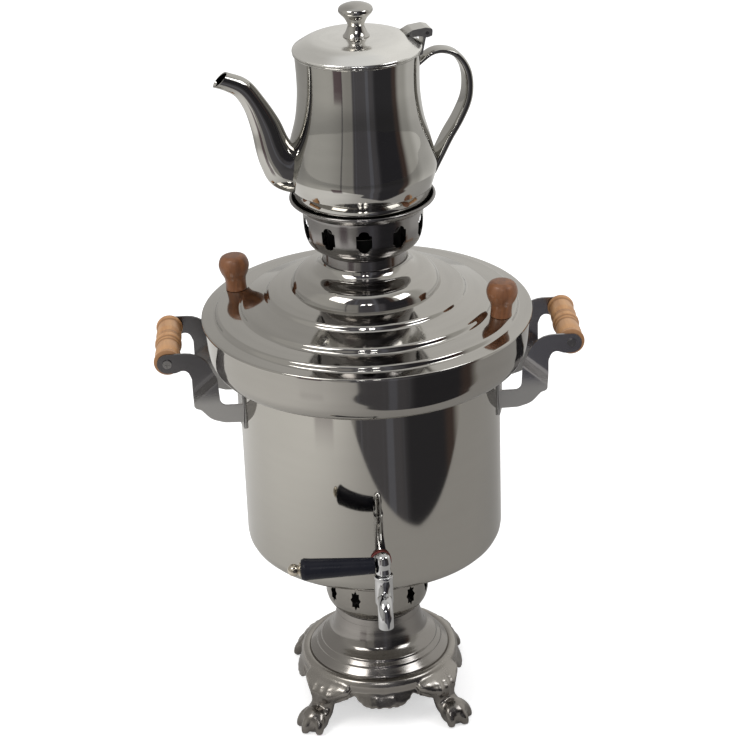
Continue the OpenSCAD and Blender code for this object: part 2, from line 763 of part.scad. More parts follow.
module tap_bonnet() {
    color("gainsboro") translate([0, plug_y, housing_top]) difference() {
        rotate_extrude() polygon(soft_loop([
            [0, 0, 0], [housing_d / 2 + 0.4, 0, 0.5], [housing_d / 2 + 0.4, bonnet_h - 1, 1],
            [housing_d / 2 - 1.4, bonnet_h, 0], [0, bonnet_h, 0]
        ]));
        translate([0, 0, -1]) cylinder(r = plug_r - 1 + run_gap, h = bonnet_h + 2);
    }
}

module tap_plug() {
    color("gainsboro") translate([0, plug_y, 0]) difference() {
        union() {
            translate([0, 0, bore_foot + 0.3]) cylinder(r = plug_r, h = housing_top - bore_foot - 0.6);
            translate([0, 0, housing_top - 1]) cylinder(r = plug_r - 1, h = bonnet_h + 2);
            translate([0, 0, cap_z + 0.2]) rotate_extrude() polygon(concat(
                [[0, 0]],
                soft_path([
                    [cap_r - 1, 0, 0], [cap_r, 1.5, 0.6], [cap_r - 0.6, cap_h * 0.3, 2],
                    [cap_r + 0.2, cap_h * 0.55, 4], [cap_r * 0.88, cap_h * 0.87, 4],
                    [cap_r * 0.3, cap_h, 1.5], [0, cap_h, 0]
                ])
            ));
            translate([0, 0, lever_z]) rotate([0, -90, 0]) cylinder(r = rod_r, h = lever_x + lever_l + 5);
        }
        // slot that joins the inlet and the spout when the lever is turned
        side_cut(-20, 20, (tap_z + outlet_z) / 2) polygon(soft_loop([
            for (c = [[-1, -1], [1, -1], [1, 1], [-1, 1]])
                [c.x * water_d / 2, c.y * (water_d / 2 + 2), water_d / 2 - 0.1]
        ]));
    }
}

module lever_grip() {
    inner_r = lever_d * 0.36;
    color("black") translate([-lever_x, plug_y, lever_z]) rotate([0, -90, 0]) difference() {
        rotate_extrude() polygon(soft_loop([
            [0, 0, 0], [inner_r, 0, 1.5], [lever_d / 2 - 0.6, lever_l - 8, 10], [lever_d / 2, lever_l - 3, 2],
            [lever_d / 2 - 1.4, lever_l, 1], [0, lever_l, 0]
        ]));
        translate([0, 0, -1]) cylinder(r = rod_r + run_gap, h = lever_l + 2);
    }
}

module lever_ball() {
    ball_r = ball_d / 2;
    color("wheat") translate([-lever_x - lever_l, plug_y, lever_z]) rotate([0, -90, 0]) difference() {
        union() {
            rotate_extrude() polygon(soft_loop([
                [0, 0, 0], [ball_r + 0.8, 0, 0], [ball_r + 1, 1.2, 0.6], [ball_r * 0.66, 3, 1], [0, 3, 0]
            ]));
            translate([0, 0, 2 + ball_r * 0.8]) sphere(r = ball_r);
        }
        translate([0, 0, -1]) cylinder(r = rod_r + run_gap, h = 6.5);
    }
}

// ---- Lid

dome_path = spline([
    [dome_r, dome_z], [dome_r - 2, dome_z + dome_h * 0.27], [dome_r - 8, dome_z + dome_h * 0.52],
    [lip_r + 8, dome_z + dome_h * 0.67], [lip_r + 3.2, dome_z + dome_h * 0.79],
    [lip_r + 0.8, dome_z + dome_h * 0.9], [lip_r, lip_z]
], 5);
// Radius of an outside path at a height
function radius_at(path, z) = lookup(z, [for (p = path) [p.y, p.x]]);

lid_path = concat(
    soft_path([
        [flange_r, flange_z - 2.4, 0], [flange_r, flange_z, 1.3], [ledge1_r, ledge1_z, 1],
        [step1_r, step1_z, step_fillet],
        [step2_r, step2_z, step_fillet], [ledge3_r, ledge3_z, step_fillet], [step3_r, step3_z, step_fillet],
        [step3_r - 2, ledge4_z, step_fillet], [dome_r + 1.4, dome_z, 0]
    ], 4),
    dome_path
);

module knob_place(side) {
    rotate([0, 0, knob_turn + (side > 0 ? 0 : 180)])
        translate([knob_circle_r, 0, step2_z + (step1_z - step2_z) * (knob_circle_r - step2_r) / band1_w])
            rotate([0, knob_lean, 0]) children();
}

module lid() {
    color("lightgray") difference() {
        union() {
            spun(lid_path);
            // ledge inside the dome, on which the crown's neck stands
            translate([0, 0, ledge_z]) difference() {
                cylinder(r = radius_at(dome_path, seat_z) - 0.6 * sheet_t, h = sheet_t);
                translate([0, 0, -1]) cylinder(r = tube_top_r + 1.2, h = sheet_t + 2);
            }
            // locating rim inside the collar
            translate([0, 0, flange_z - lid_rim_h]) difference() {
                cylinder(r = lid_rim_r, h = lid_rim_h + (flange_r - lid_rim_r) * flange_slope - sheet_t / 2);
                translate([0, 0, -1]) cylinder(r = lid_rim_r - sheet_t, h = lid_rim_h + 5);
            }
        }
        for (side = [-1, 1])
            knob_place(side) translate([0, 0, -6]) cylinder(d = knob_screw_d + 2 * screw_gap, h = 12);
    }
}

module lid_knob(side) {
    knob_r = knob_d / 2;
    foot_r = knob_foot_d / 2;
    outline = concat(
        [[0, 0], [foot_r, 0]],
        spline([
            [foot_r, 0.6], [foot_r - 0.3, knob_h * 0.15], [foot_r + 0.3, knob_h * 0.35],
            [knob_r - 1.4, knob_h * 0.52], [knob_r, knob_h * 0.7], [knob_r - 0.9, knob_h * 0.85],
            [knob_r * 0.8, knob_h * 0.95], [knob_r * 0.6, knob_h]
        ], 5),
        [[0, knob_h]]
    );
    color("peru") knob_place(side) translate([0, 0, 0.05]) difference() {
        rotate_extrude() polygon(outline);
        translate([0, 0, -1]) cylinder(d = knob_screw_d + 2 * screw_gap, h = 21);
    }
}

module lid_knob_right() { lid_knob(1); }
module lid_knob_left() { lid_knob(-1); }

module lid_knob_screws() {
    color("dimgray") for (side = [-1, 1])
        knob_place(side) translate([0, 0, -sheet_t - 0.05]) rotate([180, 0, 0]) screw(knob_screw_d, 18, 8, 2);
}

// ---- Crown

slot_z = dish_z - 17.2;
crown_path = concat(
    [[neck_r, seat_z + lift_gap], [neck_r, bowl_z - 2.4], [neck_r + 1, bowl_z - 1.4],
    [neck_r + 1.2, bowl_z - 0.4]],
    spline([
        [neck_r + 2, bowl_z], [neck_r + (bowl_r - neck_r) * 0.62, bowl_z + bowl_h * 0.11],
        [neck_r + (bowl_r - neck_r) * 0.86, bowl_z + bowl_h * 0.28],
        [neck_r + (bowl_r - neck_r) * 0.97, bowl_z + bowl_h * 0.55], [bowl_r, bowl_z + bowl_h * 0.9]
    ], 5),
    soft_path([
        [bowl_r, bowl_z + bowl_h * 0.93, 0], [bowl_r + 0.4, dish_z, 0.6],
        [kettle_base_d / 2 + 2.6, dish_z, 1.4],
        [dish_d / 2 - 1.6, dish_z + dish_h - 1.2, 0]
    ], 4)
);

function slot_outline(w, h) = soft_loop([
    [w / 2, h * 0.3, 0.8], [w * 0.34, h * 0.3, 0.8], [w * 0.34, h / 2, w * 0.3], [-w * 0.34, h / 2, w * 0.3],
    [-w * 0.34, h * 0.3, 0.8], [-w / 2, h * 0.3, 0.8], [-w / 2, -h * 0.3, 0.8], [-w * 0.34, -h * 0.3, 0.8],
    [-w * 0.34, -h / 2, w * 0.3], [w * 0.34, -h / 2, w * 0.3], [w * 0.34, -h * 0.3, 0.8], [w / 2, -h * 0.3, 0.8]
], 3);

module crown() {
    color("darkgray") difference() {
        union() {
            spun(crown_path);
            translate([0, 0, dish_z + dish_h - 1]) rotate_extrude()
                translate([dish_d / 2 - 1.5, 0]) circle(r = 1.5, $fn = 32);
        }
        around(slot_count, slot_turn - 90)
            side_cut(neck_r, bowl_r + 5, slot_z) polygon(slot_outline(slot_w, slot_h));
    }
}

// ---- Kettle

kettle_base_r = kettle_base_d / 2;
crease_r = kettle_base_r + 7.3;

kettle_path = concat(
    soft_path([[0, kettle_z, 0], [kettle_base_r, kettle_z, 1.5],
    [crease_r, kettle_z + kettle_h * 0.125, 0]], 4),
    spline([
        [crease_r + 0.6, kettle_z + kettle_h * 0.13], [kettle_r - 0.7, kettle_z + kettle_h * 0.206],
        [kettle_r, kettle_z + kettle_h * 0.27],
        [kettle_r - 4.4, kettle_z + kettle_h * 0.411], [kettle_neck_r + 3, kettle_z + kettle_h * 0.56],
        [kettle_neck_r + 0.3, kettle_z + kettle_h * 0.709],
        [kettle_neck_r, kettle_z + kettle_h * 0.837], [kettle_neck_r + 0.9, kettle_rim_z - 3.6]
    ], 5),
    [[kettle_neck_r + 1, kettle_rim_z]]
);
kettle_solid = concat(kettle_path, [[0, kettle_rim_z]]);

// Everything within the kettle's wall, and its rolled rim
module kettle_trim() {
    rotate_extrude() polygon([for (p = kettle_solid) [p.x == 0 ? 0 : p.x + 0.05, p.y]]);
    translate([0, 0, kettle_rim_z - rim_bead_r]) rotate_extrude()
        translate([kettle_neck_r + 1.2, 0]) circle(r = rim_bead_r + 0.05, $fn = 32);
}

module kettle_place() {
    rotate([0, 0, kettle_turn]) children();
}

// Spout stations, from inside the wall to the tip, as [x, z, half width, half thickness]
spout_root_z = kettle_z + kettle_h * 0.277;
spout_tip_r = spout_tip_d / 2;
tip_z = kettle_z + spout_tip_z;
spout_stations = spline([
    [kettle_r - 12.5, spout_root_z, 15.5, 24], [kettle_r - 0.5, spout_root_z + 3, 14, 22],
    [kettle_r + 7, spout_root_z + 11.5, 12, 18], [kettle_r + 12.2, spout_root_z + 23.4, 10.8, 15.4],
    [kettle_r + 17.5, spout_root_z + 42.3, 9.6, 13.1], [spout_reach - 27.9, tip_z - 23.1, 8.8, 10.1],
    [spout_reach - 18, tip_z - 8.1, 8.2, 9.1],
    [spout_reach - 5.5, tip_z - 0.5, spout_tip_r - 0.2, spout_tip_r + 0.2],
    [spout_reach + 7.5, tip_z + 4.5, spout_tip_r - 0.4, spout_tip_r - 0.2]
], 3);

module spout_tube(inset) {
    mirror([1, 0, 0]) sweep([for (s = spout_stations) [s.x, s[1], s[2] - inset, s[3] - inset]], 1, 20);
}

module kettle_body() {
    color("gainsboro") difference() {
        union() {
            spun(kettle_path, kettle_t);
            translate([0, 0, kettle_rim_z - rim_bead_r]) rotate_extrude()
                translate([kettle_neck_r + 1.2, 0]) circle(r = rim_bead_r, $fn = 32);
        }
        kettle_place() for (row = [-1:1], col = [-1:1])
            translate([-kettle_r + 20, col * strainer_d * 1.8, spout_root_z + 2 + row * strainer_d * 2.2])
                rotate([0, -90, 0]) cylinder(d = strainer_d, h = 40);
    }
}

module kettle_spout() {
    color("gainsboro") kettle_place() difference() {
        spout_tube(0);
        spout_tube(spout_t);
        kettle_trim();
        // oblique mouth
        translate([-spout_reach - 1, 0, tip_z + 2]) rotate([0, 46, 0])
            translate([-40, -20, -20]) cube([40, 40, 40]);
    }
}

strap_x = strap_reach - strap_t / 2;
// Stations of the handle's centre line, as [x, z, share of its width, share of its thickness]
strap_stations = spline([
    [kettle_neck_r - 4, kettle_z + kettle_h * 0.844, 0.72, 0.5],
    [kettle_neck_r + 4, kettle_z + kettle_h * 0.888, 0.72, 0.5],
    [kettle_neck_r + 12, kettle_z + kettle_h * 0.925, 0.75, 0.55],
    [kettle_neck_r + 21, kettle_z + kettle_h * 0.935, 0.8, 0.6],
    [strap_x - 14, kettle_z + kettle_h * 0.913, 0.87, 0.7],
    [strap_x - 6.5, kettle_z + kettle_h * 0.862, 0.93, 0.83],
    [strap_x - 1.5, kettle_z + kettle_h * 0.787, 0.98, 0.94], [strap_x, kettle_z + kettle_h * 0.695, 1, 1],
    [strap_x - 2, kettle_z + kettle_h * 0.596, 1.05, 1],
    [strap_x - 9.5, kettle_z + kettle_h * 0.482, 1.1, 0.95],
    [kettle_r + 13, kettle_z + kettle_h * 0.369, 1.15, 0.9],
    [kettle_r + 5.5, kettle_z + kettle_h * 0.27, 1.15, 0.85],
    [kettle_r - 3, kettle_z + kettle_h * 0.156, 1.1, 0.8]
], 4);

module kettle_handle() {
    color("gainsboro") kettle_place() difference() {
        sweep([for (s = strap_stations) [s.x, s.y, s[2] * strap_w / 2, s[3] * strap_t / 2]], 0.6, 16);
        kettle_trim();
    }
}

// ---- Kettle hinge, with its pin across the handle's line

cheek_in = leaf_w / 2 - leaf_t;

module across(x, z, r, half) {
    translate([x, half, z]) rotate([90, 0, 0]) cylinder(r = r, h = 2 * half);
}

module kettle_hinge_bracket() {
    half = cheek_in - 0.5;
    color("silver") kettle_place() difference() {
        union() {
            across(pin_x, pin_z, knuckle_r, half);
            translate([0, half, 0]) rotate([90, 0, 0]) linear_extrude(2 * half) polygon([
                [kettle_neck_r - 2, kettle_rim_z - 12], [kettle_neck_r + 3.4, kettle_rim_z - 9.5],
                [pin_x - 0.4, pin_z - knuckle_r + 0.3], [pin_x, pin_z], [pin_x - knuckle_r, pin_z],
                [pin_x - knuckle_r, kettle_rim_z - 1], [kettle_neck_r - 2, kettle_rim_z - 3]
            ]);
        }
        across(pin_x, pin_z, pin_r + run_gap, 20);
        kettle_trim();
    }
}

module kettle_hinge_leaf() {
    top_z = pin_z + knuckle_r + 1.4;
    far_x = pin_x + knuckle_r + leaf_t + 0.5;
    skin = soft_path([
        [pin_x - 22, cover_z + cover_rise - 2.7, 0], [pin_x - 13, top_z - 0.8, 4], [pin_x - 1, top_z + 0.3, 3],
        [far_x, top_z - 1.4, 2], [far_x, pin_z + 1, 0]
    ], 4);
    color("silver") kettle_place() difference() {
        union() {
            translate([0, leaf_w / 2, 0]) rotate([90, 0, 0]) linear_extrude(leaf_w)
                polygon(concat(skin, reversed(offset_path(skin, -leaf_t))));
            for (y = [cheek_in, -leaf_w / 2])
                translate([0, y + leaf_t, 0]) rotate([90, 0, 0]) linear_extrude(leaf_t)
                    polygon(concat([[pin_x - 17, cover_z + 7]], [for (i = [1:len(skin) - 1]) skin[i]],
                        [[far_x - 0.4, pin_z - 3], [pin_x, pin_z - 4.2], [pin_x - 6, pin_z - 2.4]]));
        }
        across(pin_x, pin_z, pin_r + run_gap, 20);
        cover_solid();
    }
}

module kettle_hinge_pin() {
    color("dimgray") kettle_place() across(pin_x, pin_z, pin_r, leaf_w / 2 + 0.5);
}

// ---- Kettle lid

cover_path = concat(
    soft_path([[cover_r, cover_z, 0], [cover_r, cover_z + 1.6, 1.1],
    [cover_r - 2.2, cover_z + cover_rise * 0.27, 0]], 4),
    spline([
        [cover_r - 4.5, cover_z + cover_rise * 0.4], [cover_r - 10.5, cover_z + cover_rise * 0.71],
        [cover_r - 16.5, cover_z + cover_rise * 0.9], [cover_r - 24.5, cover_z + cover_rise]
    ], 4),
    [[0, cover_z + cover_rise]]
);

module cover_solid() {
    rotate_extrude() polygon(concat([for (p = cover_path) [p.x, p.y + 0.05]], [[0, cover_z - 12],
    [cover_r, cover_z - 12]]));
}

module kettle_lid() {
    plug_rim_r = kettle_neck_r - kettle_t - 2;
    plug_rim_h = 6 + lookup(plug_rim_r, [for (p = cover_path) [p.x, p.y - cover_z]]) - kettle_t * 0.6;
    color("gainsboro") difference() {
        union() {
            spun(cover_path, kettle_t);
            translate([0, 0, cover_z - 6]) difference() {
                cylinder(r = plug_rim_r, h = plug_rim_h);
                translate([0, 0, -1]) cylinder(r = plug_rim_r - kettle_t, h = plug_rim_h + 2);
            }
        }
        translate([0, 0, cover_z]) cylinder(d = 4 + 2 * screw_gap, h = 20);
    }
}

module kettle_knob() {
    pull_r = pull_d / 2;
    z = pull_z + 0.05;
    outline = concat(
        [[0, z], [11.7, z]],
        spline([
            [11.7, z + 0.6], [9.6, z + 3.4], [7.5, z + 8.6], [7.6, z + 11.4],
            [pull_r * 0.68, z + pull_h * 0.56],
            [pull_r - 0.6, z + pull_h * 0.72], [pull_r, z + pull_h * 0.8], [pull_r - 1.6, z + pull_h * 0.89],
            [pull_r * 0.5, z + pull_h * 0.97]
        ], 4),
        [[0, z + pull_h]]
    );
    color("gainsboro") difference() {
        rotate_extrude() polygon(outline);
        translate([0, 0, z - 1]) cylinder(d = 4 + 2 * screw_gap, h = 13);
    }
}

module kettle_knob_screw() {
    color("dimgray") translate([0, 0, pull_z - kettle_t - 0.1]) rotate([180, 0, 0]) screw(4, 11, 8, 2);
}

tank();
collar();
fire_tube();
fire_grate();
draught_ring();
flared_foot();
base_ring();
leg_front_left();
leg_front_right();
leg_back_left();
leg_back_right();
leg_screws();
handle_bracket_left();
handle_bracket_right();
side_grip_left();
side_grip_right();
grip_screws();
tap_body();
tap_washer_outer();
tap_washer_inner();
tap_nut();
tap_bonnet();
tap_plug();
lever_grip();
lever_ball();
lid();
lid_knob_left();
lid_knob_right();
lid_knob_screws();
crown();
kettle_body();
kettle_spout();
kettle_handle();
kettle_hinge_bracket();
kettle_lid();
kettle_knob();
kettle_knob_screw();
kettle_hinge_leaf();
kettle_hinge_pin();
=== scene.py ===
import math
import bmesh
import bpy
from mathutils import Matrix, Vector


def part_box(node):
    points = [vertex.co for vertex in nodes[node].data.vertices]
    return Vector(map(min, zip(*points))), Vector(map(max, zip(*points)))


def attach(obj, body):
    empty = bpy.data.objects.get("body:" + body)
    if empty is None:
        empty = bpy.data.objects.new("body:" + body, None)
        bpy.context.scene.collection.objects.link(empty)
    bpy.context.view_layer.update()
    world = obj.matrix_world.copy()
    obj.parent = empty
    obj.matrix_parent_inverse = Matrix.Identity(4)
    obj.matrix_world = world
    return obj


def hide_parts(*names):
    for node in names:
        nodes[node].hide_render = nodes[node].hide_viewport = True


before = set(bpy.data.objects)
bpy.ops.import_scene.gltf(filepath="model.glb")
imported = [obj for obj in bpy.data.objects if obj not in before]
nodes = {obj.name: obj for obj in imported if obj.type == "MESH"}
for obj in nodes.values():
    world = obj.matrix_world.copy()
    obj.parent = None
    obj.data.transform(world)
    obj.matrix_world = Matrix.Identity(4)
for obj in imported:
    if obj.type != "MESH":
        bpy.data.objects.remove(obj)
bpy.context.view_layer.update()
print("frame loaded:", len(nodes), "parts")

bpy.context.scene.view_settings.view_transform = "Standard"

# camera, floor and light

cameraSet = dict(distance=1.9137, height=1.2637, pitch=25.615, roll=-2.174, turn=-1.994, lens=112.74,
                 shift=-0.0013)


def addCamera(c):
    data = bpy.data.cameras.new("camera")
    data.sensor_width = 36
    data.lens = c["lens"]
    data.shift_x = c["shift"]
    data.clip_end = 50
    camera = bpy.data.objects.new("camera", data)
    bpy.context.scene.collection.objects.link(camera)
    turn = Matrix.Rotation(math.radians(c["turn"]), 4, "Z")
    place = Matrix.Translation((0, -c["distance"], c["height"]))
    tilt = Matrix.Rotation(math.radians(90 - c["pitch"]), 4, "X")
    roll = Matrix.Rotation(math.radians(c["roll"]), 4, "Z")
    camera.matrix_world = turn @ place @ tilt @ roll
    bpy.context.scene.camera = camera


addCamera(cameraSet)


class Value:
    # a socket that can be used in sums: each operator adds one Math node
    def __init__(self, shader, socket):
        self.shader = shader
        self.socket = socket

    def math(self, operation, *others):
        node = self.shader.tree.nodes.new("ShaderNodeMath")
        node.operation = operation
        for i, term in enumerate((self,) + others):
            if isinstance(term, Value):
                self.shader.tree.links.new(term.socket, node.inputs[i])
            else:
                node.inputs[i].default_value = term
        return Value(self.shader, node.outputs[0])

    def __add__(self, other):
        return self.math("ADD", other)

    __radd__ = __add__

    def __sub__(self, other):
        return self.math("SUBTRACT", other)

    def __rsub__(self, other):
        return self.math("MULTIPLY", -1).math("ADD", other)

    def __mul__(self, other):
        return self.math("MULTIPLY", other)

    __rmul__ = __mul__

    def __truediv__(self, other):
        return self.math("DIVIDE", other)

    def __lt__(self, other):
        return self.math("LESS_THAN", other)

    def power(self, other):
        return self.math("POWER", other)

    def clamped(self):
        return self.math("MAXIMUM", 0).math("MINIMUM", 1)

    # 0 below low, 1 above high, with soft ends
    def ramp(self, low, high):
        node = self.shader.node("ShaderNodeMapRange", dict(interpolation_type="SMOOTHSTEP"), {
            "Value": self, "From Min": low, "From Max": high, "To Min": 0, "To Max": 1})
        return node["Result"]

    # rises from a to b and falls again from c to d
    def between(self, a, b, c, d):
        return self.ramp(a, b) * (1 - self.ramp(c, d))


class Shader:
    def __init__(self, name, tree=None):
        if tree is None:
            self.material = bpy.data.materials.new(name)
            self.material.use_nodes = True
            tree = self.material.node_tree
        self.tree = tree
        tree.nodes.clear()

    # one new node: its settings first, then the values or links of its sockets
    def node(self, kind, settings=None, values=None):
        node = self.tree.nodes.new(kind)
        for key, value in (settings or {}).items():
            setattr(node, key, value)
        for key, value in (values or {}).items():
            if isinstance(value, Value):
                self.tree.links.new(value.socket, node.inputs[key])
            elif isinstance(value, (tuple, list)) and node.inputs[key].type == "RGBA":
                node.inputs[key].default_value = (*value, 1)
            else:
                node.inputs[key].default_value = value
        return {output.name: Value(self, output) for output in node.outputs}

    def mixColours(self, factor, first, second):
        node = self.tree.nodes.new("ShaderNodeMix")
        node.data_type = "RGBA"
        for socket, value in zip((node.inputs[0], node.inputs[6], node.inputs[7]), (factor, first, second)):
            if isinstance(value, Value):
                self.tree.links.new(value.socket, socket)
            else:
                socket.default_value = (*value, 1) if isinstance(value, tuple) else value
        return Value(self, node.outputs[2])

    def vector(self, operation, first, second):
        node = self.tree.nodes.new("ShaderNodeVectorMath")
        node.operation = operation
        for socket, value in zip(node.inputs, (first, second)):
            if isinstance(value, Value):
                self.tree.links.new(value.socket, socket)
            else:
                socket.default_value = value
        return Value(self, node.outputs[0])

    def place(self):
        return self.node("ShaderNodeTexCoord")["Object"]

    def axes(self, vector):
        parts = self.node("ShaderNodeSeparateXYZ", None, {"Vector": vector})
        return parts["X"], parts["Y"], parts["Z"]

    def noise(self, vector, scale, detail, roughness=0.5):
        values = {"Vector": vector, "Scale": scale, "Detail": detail, "Roughness": roughness}
        return self.node("ShaderNodeTexNoise", None, values)["Fac"]

    # noise drawn out round the upright axis, with no seam
    def turnedLines(self, around, across, detail=2):
        x, y, z = self.axes(self.place())
        radius = (x * x + y * y).power(0.5) + 0.0001
        ring = self.node("ShaderNodeCombineXYZ", None, {
            "X": x / radius * around, "Y": y / radius * around, "Z": z * across})["Vector"]
        noise = self.node("ShaderNodeTexNoise", dict(noise_dimensions="4D"), {
            "Vector": ring, "W": radius * across, "Scale": 1, "Detail": detail})
        return noise["Fac"]

    def bump(self, height, strength, distance, normal=None):
        values = {"Height": height, "Strength": strength, "Distance": distance}
        if normal:
            values["Normal"] = normal
        return self.node("ShaderNodeBump", None, values)["Normal"]

    def surface(self, **values):
        values = {key.replace("_", " "): value for key, value in values.items()}
        bsdf = self.node("ShaderNodeBsdfPrincipled", None, values)["BSDF"]
        self.node("ShaderNodeOutputMaterial", None, {"Surface": bsdf})
        return self.material


def addStage(name, bm, material):
    mesh = bpy.data.meshes.new(name)
    bm.to_mesh(mesh)
    bm.free()
    item = bpy.data.objects.new(name, mesh)
    item.data.materials.append(material)
    bpy.context.scene.collection.objects.link(item)


# what stands round the table, by the direction in which it lies, from -1 at the left to 1 at the right:
# it only shows in the metal
roomSet = dict(
    left=(0.58, 0.57, 0.54), middle=(0.36, 0.35, 0.33), leftFade=(-0.95, -0.35),
    post=(-0.57, -0.55, -0.535, -0.52), postShare=0.8,
    dark=(0.10, 0.096, 0.105), darkFrom=-0.25, soft=0.03,
    stripe=(0.17, 0.175, 0.205), stripes=7, stripeEdge=(0.5, 0.6), stripeShare=0.7,
    darker=(0.032, 0.031, 0.036), darkerFrom=0.42, darkerSoft=0.08,
    brown=(0.075, 0.052, 0.045), darkTo=0.88, right=(0.55, 0.54, 0.51), brownTo=0.955,
    behindLeft=(0.50, 0.49, 0.47), behindRight=(0.82, 0.81, 0.78), behindFade=(-0.5, 0.45),
    frontFade=(-0.25, 0.05))
# the same higher up
skySet = dict(roomSet, darkFrom=-0.62, darkerFrom=0.3, darkTo=0.62, brownTo=0.72)


def roomTone(shader, x, y, r):
    reach = (x * x + y * y).power(0.5) + 0.001
    side = x / reach
    front = (0 - y / reach).ramp(*r["frontFade"])
    spread = shader.node("ShaderNodeCombineXYZ", None, {"X": side * r["stripes"]})["Vector"]
    stripes = shader.noise(spread, 1, 2)
    tone = shader.mixColours(side.ramp(*r["leftFade"]), r["left"], r["middle"])
    tone = shader.mixColours(side.between(*r["post"]) * r["postShare"], tone, r["dark"])
    inside = side.ramp(r["darkFrom"] - r["soft"], r["darkFrom"] + r["soft"])
    tone = shader.mixColours(inside, tone, r["dark"])
    tone = shader.mixColours(inside * stripes.ramp(*r["stripeEdge"]) * r["stripeShare"], tone, r["stripe"])
    for start, soft, follows in (("darkerFrom", "darkerSoft", "darker"), ("darkTo", "soft", "brown"),
                                 ("brownTo", "soft", "right")):
        tone = shader.mixColours(side.ramp(r[start] - r[soft], r[start] + r[soft]), tone, r[follows])
    behind = shader.mixColours(side.ramp(*r["behindFade"]), r["behindLeft"], r["behindRight"])
    return shader.mixColours(front, behind, tone)


floorSet = dict(
    size=12.0, colour=(0.86, 0.86, 0.86), rough=0.9, gloss=0.2, lift=0.5,
    # what the metal mirrors: a light table, its two front edges as distance and turn, and a box on it
    near=(0.88, 0.87, 0.845), far=(0.50, 0.49, 0.475), fade=(-0.62, 0.1), shine=0.12, shineFade=(-0.5, 0.1),
    edges=((0.452, 37.4), (0.447, 24.3)), edgeSoft=0.004, tableReach=(0.95, 1.2),
    box=(0.085, 0.045, 0.06), boxSide=(-0.77, -0.73, -0.56, -0.52), boxReach=(0.64, 0.92, 1.6, 2.2),
    boxShare=0.85)


def addFloor(f):
    shader = Shader("floorPaint")
    rays = shader.node("ShaderNodeLightPath")
    x, y = shader.axes(shader.place())[:2]
    reach = (x * x + y * y).power(0.5)
    side = x / (reach + 0.001)
    box = side.between(*f["boxSide"]) * (y < 0) * reach.between(*f["boxReach"]) * f["boxShare"]
    room = 1
    for edge, turn in f["edges"]:
        beyond = x * math.sin(math.radians(turn)) - y * math.cos(math.radians(turn))
        room = beyond.ramp(edge - f["edgeSoft"], edge + f["edgeSoft"]) * room
    room = room.math("MAXIMUM", reach.ramp(*f["tableReach"]))
    table = shader.mixColours(x.ramp(*f["fade"]), f["near"], f["far"])
    mirrored = shader.mixColours(room, table, roomTone(shader, x, y, roomSet))
    mirrored = shader.mixColours(box, mirrored, f["box"])
    colour = shader.mixColours(rays["Is Glossy Ray"], f["colour"], mirrored)
    shine = rays["Is Glossy Ray"] * (1 - room) * (1 - x.ramp(*f["shineFade"])) * f["shine"]
    seen = (rays["Is Camera Ray"] + rays["Is Transmission Ray"]).clamped() * f["lift"]
    shader.surface(Base_Color=colour, Roughness=f["rough"], Specular_IOR_Level=f["gloss"],
                   Emission_Color=(1, 1, 1), Emission_Strength=seen + shine)
    bm = bmesh.new()
    bmesh.ops.create_grid(bm, x_segments=1, y_segments=1, size=f["size"])
    addStage("floor", bm, shader.material)


addFloor(floorSet)

worldSet = dict(fill=(0.72, 0.72, 0.72), skyFrom=(0.45, 0.6), ceiling=(0.72, 0.72, 0.71),
                ceilingFrom=(0.84, 0.99))


def addWorld(w):
    world = bpy.data.worlds.new("studio")
    bpy.context.scene.world = world
    world.use_nodes = True
    shader = Shader("studio", world.node_tree)
    x, y, z = shader.axes(shader.node("ShaderNodeTexCoord")["Generated"])
    rays = shader.node("ShaderNodeLightPath")
    low, high = roomTone(shader, x, y, roomSet), roomTone(shader, x, y, skySet)
    room = shader.mixColours(z.ramp(*w["skyFrom"]), low, high)
    room = shader.mixColours(z.ramp(*w["ceilingFrom"]), room, w["ceiling"])
    colour = shader.mixColours(rays["Is Glossy Ray"], w["fill"], room)
    shown = shader.mixColours(rays["Is Camera Ray"], colour, (1.0, 1.0, 1.0))
    back = shader.node("ShaderNodeBackground", None, {"Color": shown, "Strength": 1.0})
    shader.node("ShaderNodeOutputWorld", None, {"Surface": back["Background"]})


addWorld(worldSet)

lampSets = [
    dict(name="keyLamp", at=(-1.6, -1.2, 2.6), size=1.2, power=26, colour=(1.0, 0.985, 0.96)),
    dict(name="fillLamp", at=(1.9, -0.9, 2.2), size=0.9, power=12, colour=(0.97, 0.98, 1.0)),
    dict(name="windowLeft", at=(-0.35, -2.6, 2.1), size=0.22, power=3, colour=(1, 1, 1)),
    dict(name="windowRight", at=(0.15, -2.6, 2.1), size=0.22, power=3, colour=(1, 1, 1)),
]
lampAim = Vector((0, 0, 0.35))


def addLamp(lamp):
    data = bpy.data.lights.new(lamp["name"], "AREA")
    data.size = lamp["size"]
    data.energy = lamp["power"]
    data.color = lamp["colour"]
    item = bpy.data.objects.new(lamp["name"], data)
    item.location = lamp["at"]
    item.rotation_euler = (lampAim - item.location).to_track_quat("-Z", "Y").to_euler()
    bpy.context.scene.collection.objects.link(item)


for lamp in lampSets:
    addLamp(lamp)
print("camera, floor and light set")

# finishes

# near-black of soot and of painted shade, for the insides of the hollow pieces
sootAndShadeTone = (0.02, 0.019, 0.018)
